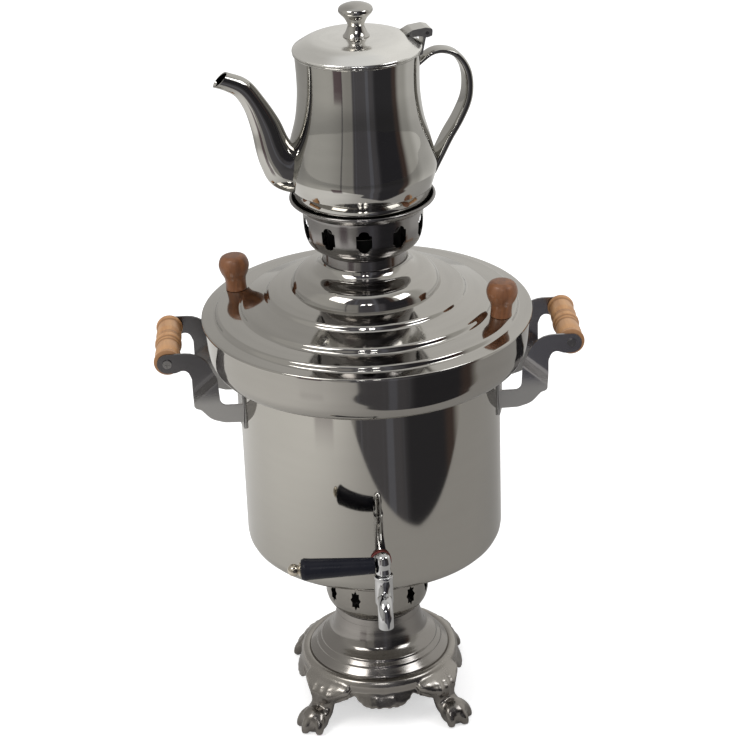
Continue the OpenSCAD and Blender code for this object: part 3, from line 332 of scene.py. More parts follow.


# lines and bumpy: how much the brush lines change the roughness and the surface
# lined: the faces turned towards the upright axis, inside the hollow, are dark with soot and with painted
# shade
def turnedSteel(name, colour, rough, lines, bumpy, stain=0.08, across=900, lined=False):
    shader = Shader(name)
    fine = shader.turnedLines(0.6, across)
    wide = shader.turnedLines(1.4, across / 9, 1)
    cloud = shader.noise(shader.place(), 9, 2)
    dull = tuple(c * (1 - stain) for c in colour)
    tone = shader.mixColours((cloud * 0.6 + wide * 0.4).ramp(0.35, 0.7), colour, dull)
    wear = rough + (fine - 0.5) * lines + (cloud - 0.5) * rough * 0.5
    if lined:
        x, y = shader.axes(shader.place())[:2]
        outX, outY = shader.axes(shader.node("ShaderNodeNewGeometry")["True Normal"])[:2]
        # soot and painted shade: every face turned towards the axis is darkened, as the inside of the hollow
        # is
        sootAndShade = (outX * x + outY * y) < (x * x + y * y).power(0.5) * -0.3
        tone = shader.mixColours(sootAndShade, tone, sootAndShadeTone)
        wear = wear + sootAndShade * 0.5
    return shader.surface(Base_Color=tone, Metallic=1.0, Roughness=wear.clamped(),
                          Normal=shader.bump(fine, bumpy, 0.00002))


def smoothSteel(name, colour, rough):
    shader = Shader(name)
    cloud = shader.noise(shader.place(), 14, 3)
    smear = shader.noise(shader.place(), 60, 2)
    tone = shader.mixColours(cloud.ramp(0.35, 0.75), colour, tuple(c * 0.93 for c in colour))
    wear = rough + (cloud - 0.5) * rough * 0.6 + (smear - 0.5) * rough * 0.3
    return shader.surface(Base_Color=tone, Metallic=1.0, Roughness=wear.clamped())


# cast legs and ring: soft folds below the ring's edge, smooth above it
def castSteel(name, light, dark, foldsBelow):
    shader = Shader(name)
    place = shader.place()
    z = shader.axes(place)[2]
    cloud = shader.noise(place, 26, 4)
    grain = shader.noise(place, 900, 2)
    folds = shader.noise(place, 85, 1, 0.4) * (1 - z.ramp(foldsBelow - 0.006, foldsBelow))
    tone = shader.mixColours((cloud * 0.6 + folds * 0.4).ramp(0.25, 0.62), light, dark)
    wear = 0.24 + (cloud - 0.5) * 0.2 + (grain - 0.5) * 0.08
    relief = shader.bump(folds, 0.5, 0.004)
    return shader.surface(Base_Color=tone, Metallic=1.0, Roughness=wear.clamped(),
                          Normal=shader.bump(grain, 0.10, 0.0001, relief))


# arm tones are painted light and shade: the upper tone darker on the left arms and lighter on the right, and
# a lighter tone painted below
armSet = dict(left=(0.17, 0.165, 0.17), right=(0.44, 0.43, 0.44), shadeTurnsAt=(-0.1, 0.1),
              paintedLightLow=(0.36, 0.35, 0.335), paintedLightLowBelow=(0.333, 0.350), cloud=(0.25, 0.24, 0.24), rough=0.24)


# stamped arms: painted shade above, darker on the left arms than on the right; painted light below, where the
# sheet is also duller
def darkSheet(name, s):
    shader = Shader(name)
    place = shader.place()
    x, y, z = shader.axes(place)
    brushed = shader.noise(shader.node("ShaderNodeCombineXYZ", None, {
        "X": x * 40, "Y": y * 900, "Z": z * 900})["Vector"], 1, 2)
    cloud = shader.noise(place, 20, 2)
    # painted shade and light: the upper tone runs from dark on the left to light on the right
    sideShadedUpper = shader.mixColours(x.ramp(*s["shadeTurnsAt"]), s["left"], s["right"])
    # painted light: the lower part gets a lighter tone, with less metal and more roughness
    paintedLightLow = 1 - z.ramp(*s["paintedLightLowBelow"])
    tone = shader.mixColours(paintedLightLow, sideShadedUpper, s["paintedLightLow"])
    tone = shader.mixColours(cloud * 0.25, tone, s["cloud"])
    wear = s["rough"] + (brushed - 0.5) * 0.12 + paintedLightLow * 0.1
    return shader.surface(Base_Color=tone, Metallic=1 - paintedLightLow * 0.6, Roughness=wear.clamped(),
                          Normal=shader.bump(brushed, 0.05, 0.00005))


# straight-grained wood, with its rings about a line along the grain, and painted shade along any grooves
# given
def turnedWood(name, light, dark, grain, centre, grooves=()):
    shader = Shader(name)
    place = shader.vector("SUBTRACT", shader.place(), centre)
    x, y, z = shader.axes(place)
    across, along, up = (x, y, z) if grain == "Y" else (x, z, y)
    drift = shader.noise(place, 18, 2)
    long = shader.node("ShaderNodeCombineXYZ", None, {
        "X": across * 160 + drift * 1.6, "Y": along * 9, "Z": up * 160 + drift * 1.6})["Vector"]
    streak = shader.noise(long, 1, 4, 0.6)
    pores = shader.node("ShaderNodeCombineXYZ", None, {
        "X": across * 1500, "Y": along * 90, "Z": up * 1500})["Vector"]
    fleck = shader.noise(pores, 1, 1).ramp(0.62, 0.74)
    tone = shader.mixColours(streak.ramp(0.28, 0.72), dark, light)
    tone = shader.mixColours(fleck * 0.45, tone, tuple(c * 0.55 for c in dark))
    # painted shade: the wood is drawn darker along each groove
    for groove in grooves:
        line = 1 - (along - groove).math("ABSOLUTE").ramp(0.0005, 0.0022)
        tone = shader.mixColours(line * 0.75, tone, tuple(c * 0.6 for c in dark))
    wear = 0.42 + (streak - 0.5) * 0.2
    return shader.surface(Base_Color=tone, Roughness=wear, Coat_Weight=0.15, Coat_Roughness=0.18,
                          Normal=shader.bump(streak + fleck, 0.12, 0.0002))


def glossBlack(name):
    shader = Shader(name)
    smear = shader.noise(shader.place(), 45, 3)
    tone = shader.mixColours(smear, (0.008, 0.009, 0.014), (0.016, 0.016, 0.022))
    return shader.surface(Base_Color=tone, Roughness=0.2 + smear * 0.16, Specular_IOR_Level=0.14)


def plainMetal(name, colour, rough):
    shader = Shader(name)
    cloud = shader.noise(shader.place(), 55, 3)
    tone = shader.mixColours(cloud.ramp(0.3, 0.8), colour, tuple(c * 0.8 for c in colour))
    return shader.surface(Base_Color=tone, Metallic=1.0, Roughness=(rough + (cloud - 0.5) * 0.12).clamped())


def redFibre(name):
    shader = Shader(name)
    cloud = shader.noise(shader.place(), 300, 3)
    tone = shader.mixColours(cloud, (0.20, 0.035, 0.03), (0.11, 0.02, 0.018))
    return shader.surface(Base_Color=tone, Roughness=0.7, Normal=shader.bump(cloud, 0.3, 0.0002))


polished = (0.37, 0.355, 0.33)
kettleTone = (0.48, 0.47, 0.445)
looks = dict(
    tank=turnedSteel("tankSteel", (0.42, 0.405, 0.375), 0.06, 0.025, 0.03, stain=0.03),
    collar=turnedSteel("collarSteel", polished, 0.075, 0.03, 0.05),
    lid=turnedSteel("lidSteel", (0.47, 0.455, 0.43), 0.075, 0.045, 0.12, across=1400),
    crown=turnedSteel("crownSteel", (0.27, 0.26, 0.255), 0.17, 0.12, 0.40, lined=True),
    vent=turnedSteel("ventSteel", (0.34, 0.325, 0.30), 0.12, 0.08, 0.20, lined=True),
    foot=turnedSteel("footSteel", (0.29, 0.275, 0.26), 0.17, 0.18, 0.8, across=700, lined=True),
    kettle=turnedSteel("kettleSteel", kettleTone, 0.05, 0.02, 0.03),
    kettleLid=turnedSteel("kettleLidSteel", (0.86, 0.85, 0.82), 0.15, 0.08, 0.16, across=1200),
    kettlePlain=smoothSteel("kettlePlainSteel", kettleTone, 0.06),
    hinge=smoothSteel("hingeSteel", (0.66, 0.65, 0.62), 0.32),
    pull=smoothSteel("pullSteel", (0.50, 0.485, 0.46), 0.06),
    tube=turnedSteel("tubeSteel", (0.16, 0.155, 0.15), 0.35, 0.2, 0.3),
    cast=castSteel("castMetal", (0.36, 0.34, 0.315), (0.22, 0.205, 0.19), foldsBelow=0.040),
    arm=darkSheet("armSheet", armSet),
    chrome=smoothSteel("tapChrome", (0.56, 0.56, 0.565), 0.035),
    black=glossBlack("leverBlack"),
    ball=plainMetal("ballMetal", (0.66, 0.60, 0.50), 0.12),
    brass=plainMetal("nutBrass", (0.55, 0.38, 0.16), 0.35),
    screw=plainMetal("screwMetal", (0.36, 0.35, 0.34), 0.28),
    iron=plainMetal("grateIron", (0.03, 0.028, 0.027), 0.7),
    washer=redFibre("washerFibre"),
)
print("finishes made:", len(looks))

# tools for turned sheet


# smooth line through all the points, as a list of [radius, height]
def flowing(points, steps=8):
    line = []
    for i in range(len(points) - 1):
        a, b, c, d = (points[min(max(i + k, 0), len(points) - 1)] for k in (-1, 0, 1, 2))
        for k in range(steps):
            t = k / steps
            line.append(tuple(
                0.5 * (2 * q + (r - p) * t + (2 * p - 5 * q + 4 * r - s) * t * t
                       + (3 * q - p - 3 * r + s) * t ** 3)
                for p, q, r, s in zip(a, b, c, d)))
    return line + [tuple(points[-1])]


# outline with [radius, height, corner]: corners are rounded by the bevel operator, in millimetres
def drawProfile(bm, points, closed=False, segments=5):
    verts = [bm.verts.new((p[0], 0, p[1])) for p in points]
    pairs = list(zip(verts, verts[1:])) + ([(verts[-1], verts[0])] if closed else [])
    for a, b in pairs:
        bm.edges.new((a, b))
    for vert, p in zip(verts, points):
        if len(p) > 2 and p[2]:
            bmesh.ops.bevel(bm, geom=[vert], offset=p[2], offset_type="OFFSET", segments=segments,
                            profile=0.5, affect="VERTICES", material=-1)


def turn(bm, steps=192):
    bmesh.ops.spin(bm, geom=bm.verts[:] + bm.edges[:], cent=(0, 0, 0), axis=(0, 0, 1),
                   angle=2 * math.pi, steps=steps, use_merge=True, use_normal_flip=False)
    bmesh.ops.remove_doubles(bm, verts=bm.verts, dist=0.002)
    bmesh.ops.dissolve_degenerate(bm, edges=bm.edges, dist=0.001)


# faces of an open sheet point away from the inside point before it gets its thickness
def thicken(bm, thickness, inside):
    bmesh.ops.recalc_face_normals(bm, faces=bm.faces)
    lean = sum(f.normal.dot(f.calc_center_median() - Vector(inside)) * f.calc_area() for f in bm.faces)
    if lean < 0:
        bmesh.ops.reverse_faces(bm, faces=bm.faces)
    bmesh.ops.solidify(bm, geom=bm.faces, thickness=thickness)


def finishPiece(name, bm, body, material, replaced, crease=35, scale=0.001):
    bmesh.ops.scale(bm, vec=(scale, scale, scale), verts=bm.verts)
    mesh = bpy.data.meshes.new(name)
    bm.to_mesh(mesh)
    bm.free()
    mesh.shade_smooth()
    mesh.set_sharp_from_angle(angle=math.radians(crease))
    piece = bpy.data.objects.new(name, mesh)
    bpy.context.scene.collection.objects.link(piece)
    mesh.materials.append(material)
    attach(piece, body)
    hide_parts(*replaced)
    return piece


# a turned sheet: its outside line, its thickness and a point inside it
def turnedSheet(name, points, thickness, inside, body, material, replaced, steps=192, extra=None):
    bm = bmesh.new()
    drawProfile(bm, points)
    turn(bm, steps)
    thicken(bm, thickness, inside)
    if extra:
        extra(bm)
    return finishPiece(name, bm, body, material, replaced)


# a section turned by itself and put beside what is there
def addTurned(bm, section, steps):
    turn(section, steps)
    bmesh.ops.recalc_face_normals(section, faces=section.faces)
    mesh = bpy.data.meshes.new("turned")
    section.to_mesh(mesh)
    section.free()
    bm.from_mesh(mesh)
    bpy.data.meshes.remove(mesh)


def addSolidRing(bm, points):
    section = bmesh.new()
    drawProfile(section, points, closed=True, segments=4)
    addTurned(bm, section, 192)


def addBead(bm, radius, height, bead, steps=192):
    section = bmesh.new()
    bmesh.ops.create_circle(section, segments=16, radius=bead)
    bmesh.ops.rotate(section, matrix=Matrix.Rotation(math.pi / 2, 3, "X"), verts=section.verts)
    bmesh.ops.translate(section, vec=(radius, 0, height), verts=section.verts)
    addTurned(bm, section, steps)


# the mesh as its modifiers leave it
def bake(piece, crease):
    graph = bpy.context.evaluated_depsgraph_get()
    mesh = bpy.data.meshes.new_from_object(piece.evaluated_get(graph))
    piece.modifiers.clear()
    piece.data = mesh
    mesh.shade_smooth()
    mesh.set_sharp_from_angle(angle=math.radians(crease))


def carve(piece, cutter, operation, crease=35):
    cut = piece.modifiers.new("cut", "BOOLEAN")
    cut.operation = operation
    cut.solver = "EXACT"
    cut.object = cutter
    bake(piece, crease)
    bpy.data.objects.remove(cutter)


# adds to a piece that is finished already
def addTo(piece, extra, crease=35):
    bm = bmesh.new()
    bm.from_mesh(piece.data)
    bmesh.ops.scale(bm, vec=(1000, 1000, 1000), verts=bm.verts)
    extra(bm)
    bmesh.ops.scale(bm, vec=(0.001, 0.001, 0.001), verts=bm.verts)
    bm.to_mesh(piece.data)
    bm.free()
    piece.data.shade_smooth()
    piece.data.set_sharp_from_angle(angle=math.radians(crease))


def addCutter(bm):
    bmesh.ops.recalc_face_normals(bm, faces=bm.faces)
    bmesh.ops.scale(bm, vec=(0.001, 0.001, 0.001), verts=bm.verts)
    mesh = bpy.data.meshes.new("cutter")
    bm.to_mesh(mesh)
    bm.free()
    cutter = bpy.data.objects.new("cutter", mesh)
    bpy.context.scene.collection.objects.link(cutter)
    return cutter


# cutters that push an outline outward through a wall, repeated round the axis from the front
def prismRing(outline, height, near, far, count, first):
    bm = bmesh.new()
    drawProfile(bm, outline, closed=True, segments=4)
    face = bmesh.ops.edgeloop_fill(bm, edges=bm.edges[:])["faces"]
    swept = bmesh.ops.extrude_face_region(bm, geom=face)["geom"]
    ends = [part for part in swept if isinstance(part, bmesh.types.BMVert)]
    bmesh.ops.translate(bm, vec=(0, near - far, 0), verts=ends)
    bmesh.ops.translate(bm, vec=(0, -near, height), verts=bm.verts)
    bmesh.ops.rotate(bm, matrix=Matrix.Rotation(math.radians(first), 3, "Z"), verts=bm.verts)
    one = bm.verts[:] + bm.edges[:] + bm.faces[:]
    for k in range(1, count):
        copied = bmesh.ops.duplicate(bm, geom=one)["geom"]
        verts = [part for part in copied if isinstance(part, bmesh.types.BMVert)]
        bmesh.ops.rotate(bm, matrix=Matrix.Rotation(2 * math.pi * k / count, 3, "Z"), verts=verts)
    return addCutter(bm)


# a CAD node's own shape, merged so that it shades smoothly between its sharp edges
def softCopy(node, body, material):
    bm = bmesh.new()
    bm.from_mesh(nodes[node].data)
    bmesh.ops.remove_doubles(bm, verts=bm.verts, dist=0.000004)
    bmesh.ops.dissolve_limit(bm, angle_limit=math.radians(0.6), verts=bm.verts, edges=bm.edges)
    finishPiece(node + "_skin", bm, body, material, (node,), scale=1)


# a tube through stations of [x, z, half width, half thickness], its sides squared by power
def sweptTube(stations, sides, power=1.0, ends=False):
    line = flowing(stations)
    bm = bmesh.new()
    loops = []
    for i, (x, z, wide, thick) in enumerate(line):
        ahead, behind = line[min(i + 1, len(line) - 1)], line[max(i - 1, 0)]
        slope = math.atan2(ahead[1] - behind[1], ahead[0] - behind[0])
        ring = bmesh.ops.create_circle(bm, segments=sides, radius=1)["verts"]
        for vert in ring:
            along, over = vert.co.x, vert.co.y
            vert.co.x = math.copysign(abs(along) ** power, along) * wide
            vert.co.y = math.copysign(abs(over) ** power, over) * thick
        # the ring's own X lies across the tube and its Y in the plane of the line
        rise, run = math.sin(slope), math.cos(slope)
        axes = Matrix(((0, -rise, run), (1, 0, 0), (0, run, rise)))
        bmesh.ops.transform(bm, matrix=Matrix.Translation((x, 0, z)) @ axes.to_4x4(), verts=ring)
        loops.append(list({edge for vert in ring for edge in vert.link_edges}))
    for near, far in zip(loops, loops[1:]):
        bmesh.ops.bridge_loops(bm, edges=near + far)
    if ends:
        bmesh.ops.edgeloop_fill(bm, edges=loops[0])
        bmesh.ops.edgeloop_fill(bm, edges=loops[-1])
    bmesh.ops.recalc_face_normals(bm, faces=bm.faces)
    return bm


# radius, foot and top of a round node, in millimetres
def span(node):
    low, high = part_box(node)
    return max(high.x, high.y, -low.x, -low.y) * 1000, low.z * 1000, high.z * 1000


# tank and collar

sheet = 1.0
tankSet = dict(corner=15, tube=44.1)  # tube: radius of the hole round the fire tube


def makeTank(t):
    radius, foot, top = span("tank")
    t.update(radius=radius)
    points = [(t["tube"], foot), (radius, foot, t["corner"]), (radius, top)]
    turnedSheet("tankShell", points, sheet, (0, 0, (foot + top) / 2), "samovar",
                looks["tank"], ("tank",), steps=256)


makeTank(tankSet)

collarSet = dict(sleeve=5, bead=1.3, gap=0.1, mouth=1.1)


def makeCollar(c):
    rim, foot, top = span("collar")
    inner = tankSet["radius"] + c["gap"] + sheet
    flare = rim - inner + c["mouth"]
    tall = top - foot
    c.update(rim=rim, top=top)
    points = [(inner, foot)] + flowing([
        (inner, foot + c["sleeve"]), (inner + flare * 0.324, foot + c["sleeve"] + 1.5),
        (inner + flare * 0.669, foot + c["sleeve"] + 5), (inner + flare * 0.824, foot + tall * 0.327),
        (inner + flare * 0.879, foot + tall * 0.5), (inner + flare * 0.914, foot + tall * 0.73),
        (rim, top - 0.3)])
    turnedSheet("collarShell", points, sheet, (0, 0, top), "samovar", looks["collar"],
                ("collar",), steps=256,
                extra=lambda bm: addBead(bm, rim - c["bead"], top - c["bead"], c["bead"], 256))


makeCollar(collarSet)
print("tank and collar made")

# lid

lidSet = dict(flange=12.2, slope=0.1, riser=2, step1=4.5, band1=21.2, step2=4.6, step3=4, dome=68,
              domeTall=25.9, lip=39.3, ledgeDrop=8.6, ledgeHole=34.3, ledgeLow=46.2, ledgeHigh=45.4,
              locator=3.6, locatorTall=10)


def makeLid(c):
    edge = span("lid")[0]
    flange = collarSet["top"] + sheet
    ledge1, ledge1Z = edge - c["flange"], flange + c["flange"] * c["slope"]
    step1, step1Z = ledge1 - c["riser"], ledge1Z + c["step1"]
    step2, step2Z = step1 - c["band1"], step1Z + c["band1"] * 0.05
    ledge3, ledge3Z = step2 - c["riser"], step2Z + c["step2"]
    step3 = ledge3 - (ledge3 - c["riser"] - c["dome"]) * 0.51
    step3Z = ledge3Z + (ledge3 - step3) * 0.29
    ledge4, ledge4Z = step3 - c["riser"], step3Z + c["step3"]
    domeZ = ledge4Z + (ledge4 - c["dome"]) * 0.17
    lip, tall = c["lip"], c["domeTall"]
    dome = [(c["dome"] + 1.4, domeZ, 0.8)] + flowing([
        (c["dome"], domeZ + 0.3), (c["dome"] - 2, domeZ + tall * 0.27), (c["dome"] - 8, domeZ + tall * 0.52),
        (lip + 8, domeZ + tall * 0.67), (lip + 3.2, domeZ + tall * 0.79),
        (lip + 0.8, domeZ + tall * 0.9), (lip, domeZ + tall)])
    points = [
        (edge, flange - 2.4), (edge, flange, 1.3), (ledge1, ledge1Z, 1.2), (step1, step1Z, 1.7),
        (step2, step2Z, 1.7), (ledge3, ledge3Z, 1.7), (step3, step3Z, 1.7), (ledge4, ledge4Z, 1.7)] + dome
    c.update(step1Z=step1Z, step2=step2, step2Z=step2Z)

    def inside(bm):
        ledge, rim = domeZ + tall - c["ledgeDrop"], collarSet["rim"] - c["locator"]
        addSolidRing(bm, [(c["ledgeHole"], ledge), (c["ledgeLow"], ledge), (c["ledgeHigh"], ledge + sheet),
                          (c["ledgeHole"], ledge + sheet)])
        under = flange + (edge - rim) * c["slope"] - sheet / 2
        addSolidRing(bm, [(rim - sheet, flange - c["locatorTall"]), (rim, flange - c["locatorTall"]),
                          (rim, under), (rim - sheet, under)])

    turnedSheet("lidShell", points, sheet, (0, 0, flange - 150), "lid", looks["lid"],
                ("lid",), steps=256, extra=inside)


makeLid(lidSet)

# the wooden knobs lean with the band that they stand on
knobSet = dict(tall=33.2, head=14, foot=9.7, circle=126.4, turn=-21, gap=0.05, hole=2.1)


def makeKnob(k, side, sign):
    tall, head, foot = k["tall"], k["head"], k["foot"]
    outline = [(k["hole"], 0), (foot, 0, 0.5)] + flowing([
        (foot, 0.6), (foot - 0.3, tall * 0.15), (foot + 0.3, tall * 0.35), (head - 1.4, tall * 0.52),
        (head, tall * 0.7), (head - 0.9, tall * 0.85), (head * 0.8, tall * 0.95),
        (head * 0.6, tall - 0.2)], 6)
    outline += [(head * 0.5, tall), (0, tall)]
    bm = bmesh.new()
    drawProfile(bm, outline)
    turn(bm, 64)
    bmesh.ops.recalc_face_normals(bm, faces=bm.faces)
    lean = math.atan2(lidSet["step2Z"] - lidSet["step1Z"], lidSet["band1"])
    height = lidSet["step2Z"] - (k["circle"] - lidSet["step2"]) * math.tan(lean) + k["gap"]
    spot = (Matrix.Rotation(math.radians(k["turn"] + (0 if sign > 0 else 180)), 4, "Z")
            @ Matrix.Translation((k["circle"], 0, height)) @ Matrix.Rotation(lean, 4, "Y"))
    bmesh.ops.transform(bm, matrix=spot, verts=bm.verts)
    centre = spot.translation / 1000
    wood = turnedWood("knobWood" + side, (0.225, 0.088, 0.033), (0.135, 0.05, 0.019), "Z", centre)
    finishPiece("knob" + side, bm, "lid", wood, ("lid_knob_" + side,), crease=50)


for side, sign in (("left", -1), ("right", 1)):
    makeKnob(knobSet, side, sign)
print("lid and knobs made")

# crown

crownSet = dict(neck=38, bowl=54, bowlTall=40, dishTall=8.5, kettleBase=55, bead=1.5,
                slots=10, slotTurn=-2, slotTall=21, slotWide=14, slotDrop=17.2)


def slotOutline(w, h):
    corner = [(w / 2, h * 0.3, 0.8), (w * 0.34, h * 0.3, 0.8), (w * 0.34, h / 2, w * 0.3)]
    corners = corner + [(-x, z, c) for x, z, c in reversed(corner)]
    return corners + [(x, -z, c) for x, z, c in reversed(corners)]


def makeCrown(c):
    rim, foot, top = span("crown")
    dish = top - (c["bead"] - 1) - c["dishTall"]
    low, neck, bowl, tall = dish - c["bowlTall"], c["neck"], c["bowl"], c["bowlTall"]
    wide = bowl - neck
    points = [(neck, foot), (neck, low - 2.4), (neck + 1, low - 1.4), (neck + 1.2, low - 0.4)] + flowing([
        (neck + 2, low), (neck + wide * 0.62, low + tall * 0.11), (neck + wide * 0.86, low + tall * 0.28),
        (neck + wide * 0.97, low + tall * 0.55), (bowl, low + tall * 0.9)]) + [
        (bowl, low + tall * 0.93), (bowl + 0.4, dish, 0.6), (c["kettleBase"] + 2.6, dish, 1.4),
        (rim - 1.6, dish + c["dishTall"] - 1.2)]
    piece = turnedSheet("crownShell", points, sheet, (0, 0, dish + 40), "crown",
                        looks["crown"], ("crown",))
    cutters = prismRing(slotOutline(c["slotWide"], c["slotTall"]), dish - c["slotDrop"], neck, bowl + 6,
                        c["slots"], c["slotTurn"])
    carve(piece, cutters, "DIFFERENCE")
    addTo(piece, lambda bm: addBead(bm, rim - c["bead"], dish + c["dishTall"] - 1, c["bead"]))


makeCrown(crownSet)
print("crown made")

# foot

ventSet = dict(neck=37, radius=49, lap=6, bowlTall=16.5, band=38.5, stars=11, starTurn=5.3,
               starTall=21.5, starWide=10.8, starRise=26.5, points=8, inner=0.72)


def starOutline(v):
    outline = []
    for k in range(2 * v["points"]):
        angle = math.pi * k / v["points"]
        reach = 1 if k % 2 == 0 else v["inner"]
        outline.append((v["starWide"] / 2 * reach * math.cos(angle),
                        v["starTall"] / 2 * reach * math.sin(angle)))
    return outline


def makeVent(v):
    rim, foot, top = span("draught_ring")
    base, neck, radius, tall = foot + v["lap"], v["neck"], v["radius"], v["bowlTall"]
    wide = radius - neck
    points = [(neck, foot), (neck, base)] + flowing([
        (neck + 1.5, base + 0.6), (neck + wide * 0.55, base + tall * 0.28),
        (neck + wide * 0.86, base + tall * 0.62), (radius, base + tall)]) + [
        (radius, base + v["band"]), (rim, base + v["band"] + 1), (rim, top), (tankSet["tube"] - 5.1, top)]
    piece = turnedSheet("draughtShell", points, sheet, (0, 0, base + 45), "samovar",
                        looks["vent"], ("draught_ring",))
    cutters = prismRing(starOutline(v), base + v["starRise"], radius - 12, radius + 5,
                        v["stars"], v["starTurn"])
    carve(piece, cutters, "DIFFERENCE")
    v.update(base=base)


makeVent(ventSet)

footSet = dict(rim=67.25, step=55.5, ledge=1.2, ledgeDrop=7.2, ledgeIn=4, ledgeOut=3)


def makeFoot(f):
    foot = span("flared_foot")[1]
    rim, step, neck, tall = f["rim"], f["step"], ventSet["neck"], ventSet["base"] - foot
    points = [
        (rim, foot), (rim, foot + 2.4, 1.4), (step + 5, foot + 8, 0.6), (step + 4.4, foot + 9.6, 0.6),
        (step + 0.6, foot + 12.6, 0.6), (step, foot + 14.2, 0.6), (step - 1.6, foot + 15.2)] + flowing([
            (step - 2.4, foot + 15.7), (step - 10, foot + tall * 0.46), (neck + 4.6, foot + tall * 0.72),
            (neck + 1.7, foot + tall)], 12)

    def seat(bm):
        low = ventSet["base"] - f["ledgeDrop"]
        near, far, high = neck - f["ledgeIn"], neck + f["ledgeOut"], low + f["ledge"]
        addSolidRing(bm, [(near, low), (far, low), (far, high), (near, high)])

    turnedSheet("footShell", points, sheet, (0, 0, foot - 30), "samovar", looks["foot"],
                ("flared_foot",), extra=seat)
    f.update(low=foot)


makeFoot(footSet)

baseSet = dict(ring=76.5, under=40, top=51.5, lobe=53, drop=15.5, flare=5, thick=3.2, quarter=54.3,
               voxel=0.0011, rounds=7)
legs = ("leg_front_left", "leg_front_right", "leg_back_left", "leg_back_right")
# half of the skirt's lower edge, from its corner to its middle: shares of the lobe's width and drop, and
# the rounding in millimetres
scallops = [
    (0.86, -1, 3), (0.68, -0.62, 4), (0.53, -0.34, 1), (0.5, -0.4, 1), (0.47, -0.62, 2), (0.41, -0.66, 1),
    (0.37, -0.88, 2), (0.28, -0.9, 1), (0.24, -1, 2), (0.15, -0.92, 1), (0.1, -1, 1.5), (0.03, -0.93, 1)]


def makeBase(b):
    ring, under, top, seat, rim = b["ring"], b["under"], b["top"], footSet["low"], footSet["rim"]
    drop, flare, thick, quarter = b["drop"], b["flare"], b["thick"], b["quarter"]
    half = [(x * b["lobe"], z * drop, c) for x, z, c in scallops]
    edge = ([(-quarter, 3), (quarter, 3), (quarter, -drop)] + half
            + [(-x, z, c) for x, z, c in reversed(half)] + [(-quarter, -drop)])
    line = flowing([(ring + flare, under - drop - 1), (ring + flare * 0.5, under - drop * 0.6),
                    (ring - 0.5, under - drop * 0.25), (ring - 1.5, under + 3)], 6)
    bm = bmesh.new()
    drawProfile(bm, line + [(x - thick, z) for x, z in reversed(line)], closed=True)
    turn(bm)
    bmesh.ops.recalc_face_normals(bm, faces=bm.faces)
    casting = finishPiece("baseCasting", bm, "samovar", looks["cast"], ("base_ring", *legs))
    carve(casting, prismRing(edge, under, quarter + 0.1, ring + 20, 4, 0), "INTERSECT")
    addTo(casting, lambda bm: addSolidRing(bm, [
        (rim + 0.3, top, 1), (rim + 0.3, seat), (rim - 7, seat), (rim - 7, seat - 3), (ring - 9, seat - 4, 3),
        (ring - 9, under, 1), (ring - 2.5, under, 2), (ring, under + 3, 3), (ring - 0.6, under + 7, 4),
        (ring - 3.6, top, 3)]), 40)
    bm = bmesh.new()
    bm.from_mesh(casting.data)
    for leg in legs:
        bm.from_mesh(nodes[leg].data)
    bmesh.ops.remove_doubles(bm, verts=bm.verts, dist=0.000004)
    bm.to_mesh(casting.data)
    bm.free()
    skin = casting.modifiers.new("skin", "REMESH")
    skin.mode = "VOXEL"
    skin.voxel_size = b["voxel"]
    soften = casting.modifiers.new("soften", "SMOOTH")
    soften.iterations = b["rounds"]
    bake(casting, 180)


makeBase(baseSet)
print("foot, base and legs made")

# kettle

kettleSet = dict(base=55, crease=7.3, neck=53.7, thick=0.8, bead=1.3, turn=12.5)


def makeKettle(k):
    radius, foot, top = span("kettle_body")
    base, neck, tall = k["base"], k["neck"], top - foot
    crease = base + k["crease"]
    bottom = [(0, foot), (base + 1, foot, 1.5), (crease - 1.2, foot + 6.4, 2), (crease, foot + tall * 0.125)]
    points = bottom + flowing([
        (crease + 0.6, foot + tall * 0.13), (radius - 0.7, foot + tall * 0.206), (radius, foot + tall * 0.27),
        (radius - 4.4, foot + tall * 0.411), (neck + 3, foot + tall * 0.56),
        (neck + 0.3, foot + tall * 0.709), (neck, foot + tall * 0.837),
        (neck + 0.9, top - 3.6)], 14) + [(neck + 1, top - 0.2)]
    k.update(radius=radius, foot=foot, top=top, tall=tall, line=points)
    turnedSheet("kettleShell", points, k["thick"], (0, 0, foot + tall / 2), "kettle",
                looks["kettle"], ("kettle_body",), steps=256,
                extra=lambda bm: addBead(bm, neck + 1.2, top - k["bead"], k["bead"]))


makeKettle(kettleSet)

coverSet = dict(radius=56.5, rise=11.3, thick=0.8, plug=50.9, plugDeep=6)


def makeCover(c):
    foot = span("kettle_lid")[1] + c["plugDeep"]
    radius, rise = c["radius"], c["rise"]
    points = [(radius, foot), (radius, foot + 1.6, 1.1), (radius - 2.2, foot + rise * 0.27)] + flowing([
        (radius - 4.5, foot + rise * 0.4), (radius - 10.5, foot + rise * 0.71),
        (radius - 16.5, foot + rise * 0.9), (radius - 24.5, foot + rise)], 10) + [(0, foot + rise)]

    def rim(bm):
        plug = c["plug"]
        addSolidRing(bm, [(plug - 0.8, foot - c["plugDeep"]), (plug, foot - c["plugDeep"]),
                          (plug, foot + 4.6), (plug - 0.8, foot + 4.6)])

    turnedSheet("coverShell", points, c["thick"], (0, 0, foot - 60), "kettle_lid",
                looks["kettleLid"], ("kettle_lid",), extra=rim)


makeCover(coverSet)

pullSet = dict(foot=11.7, radius=15)


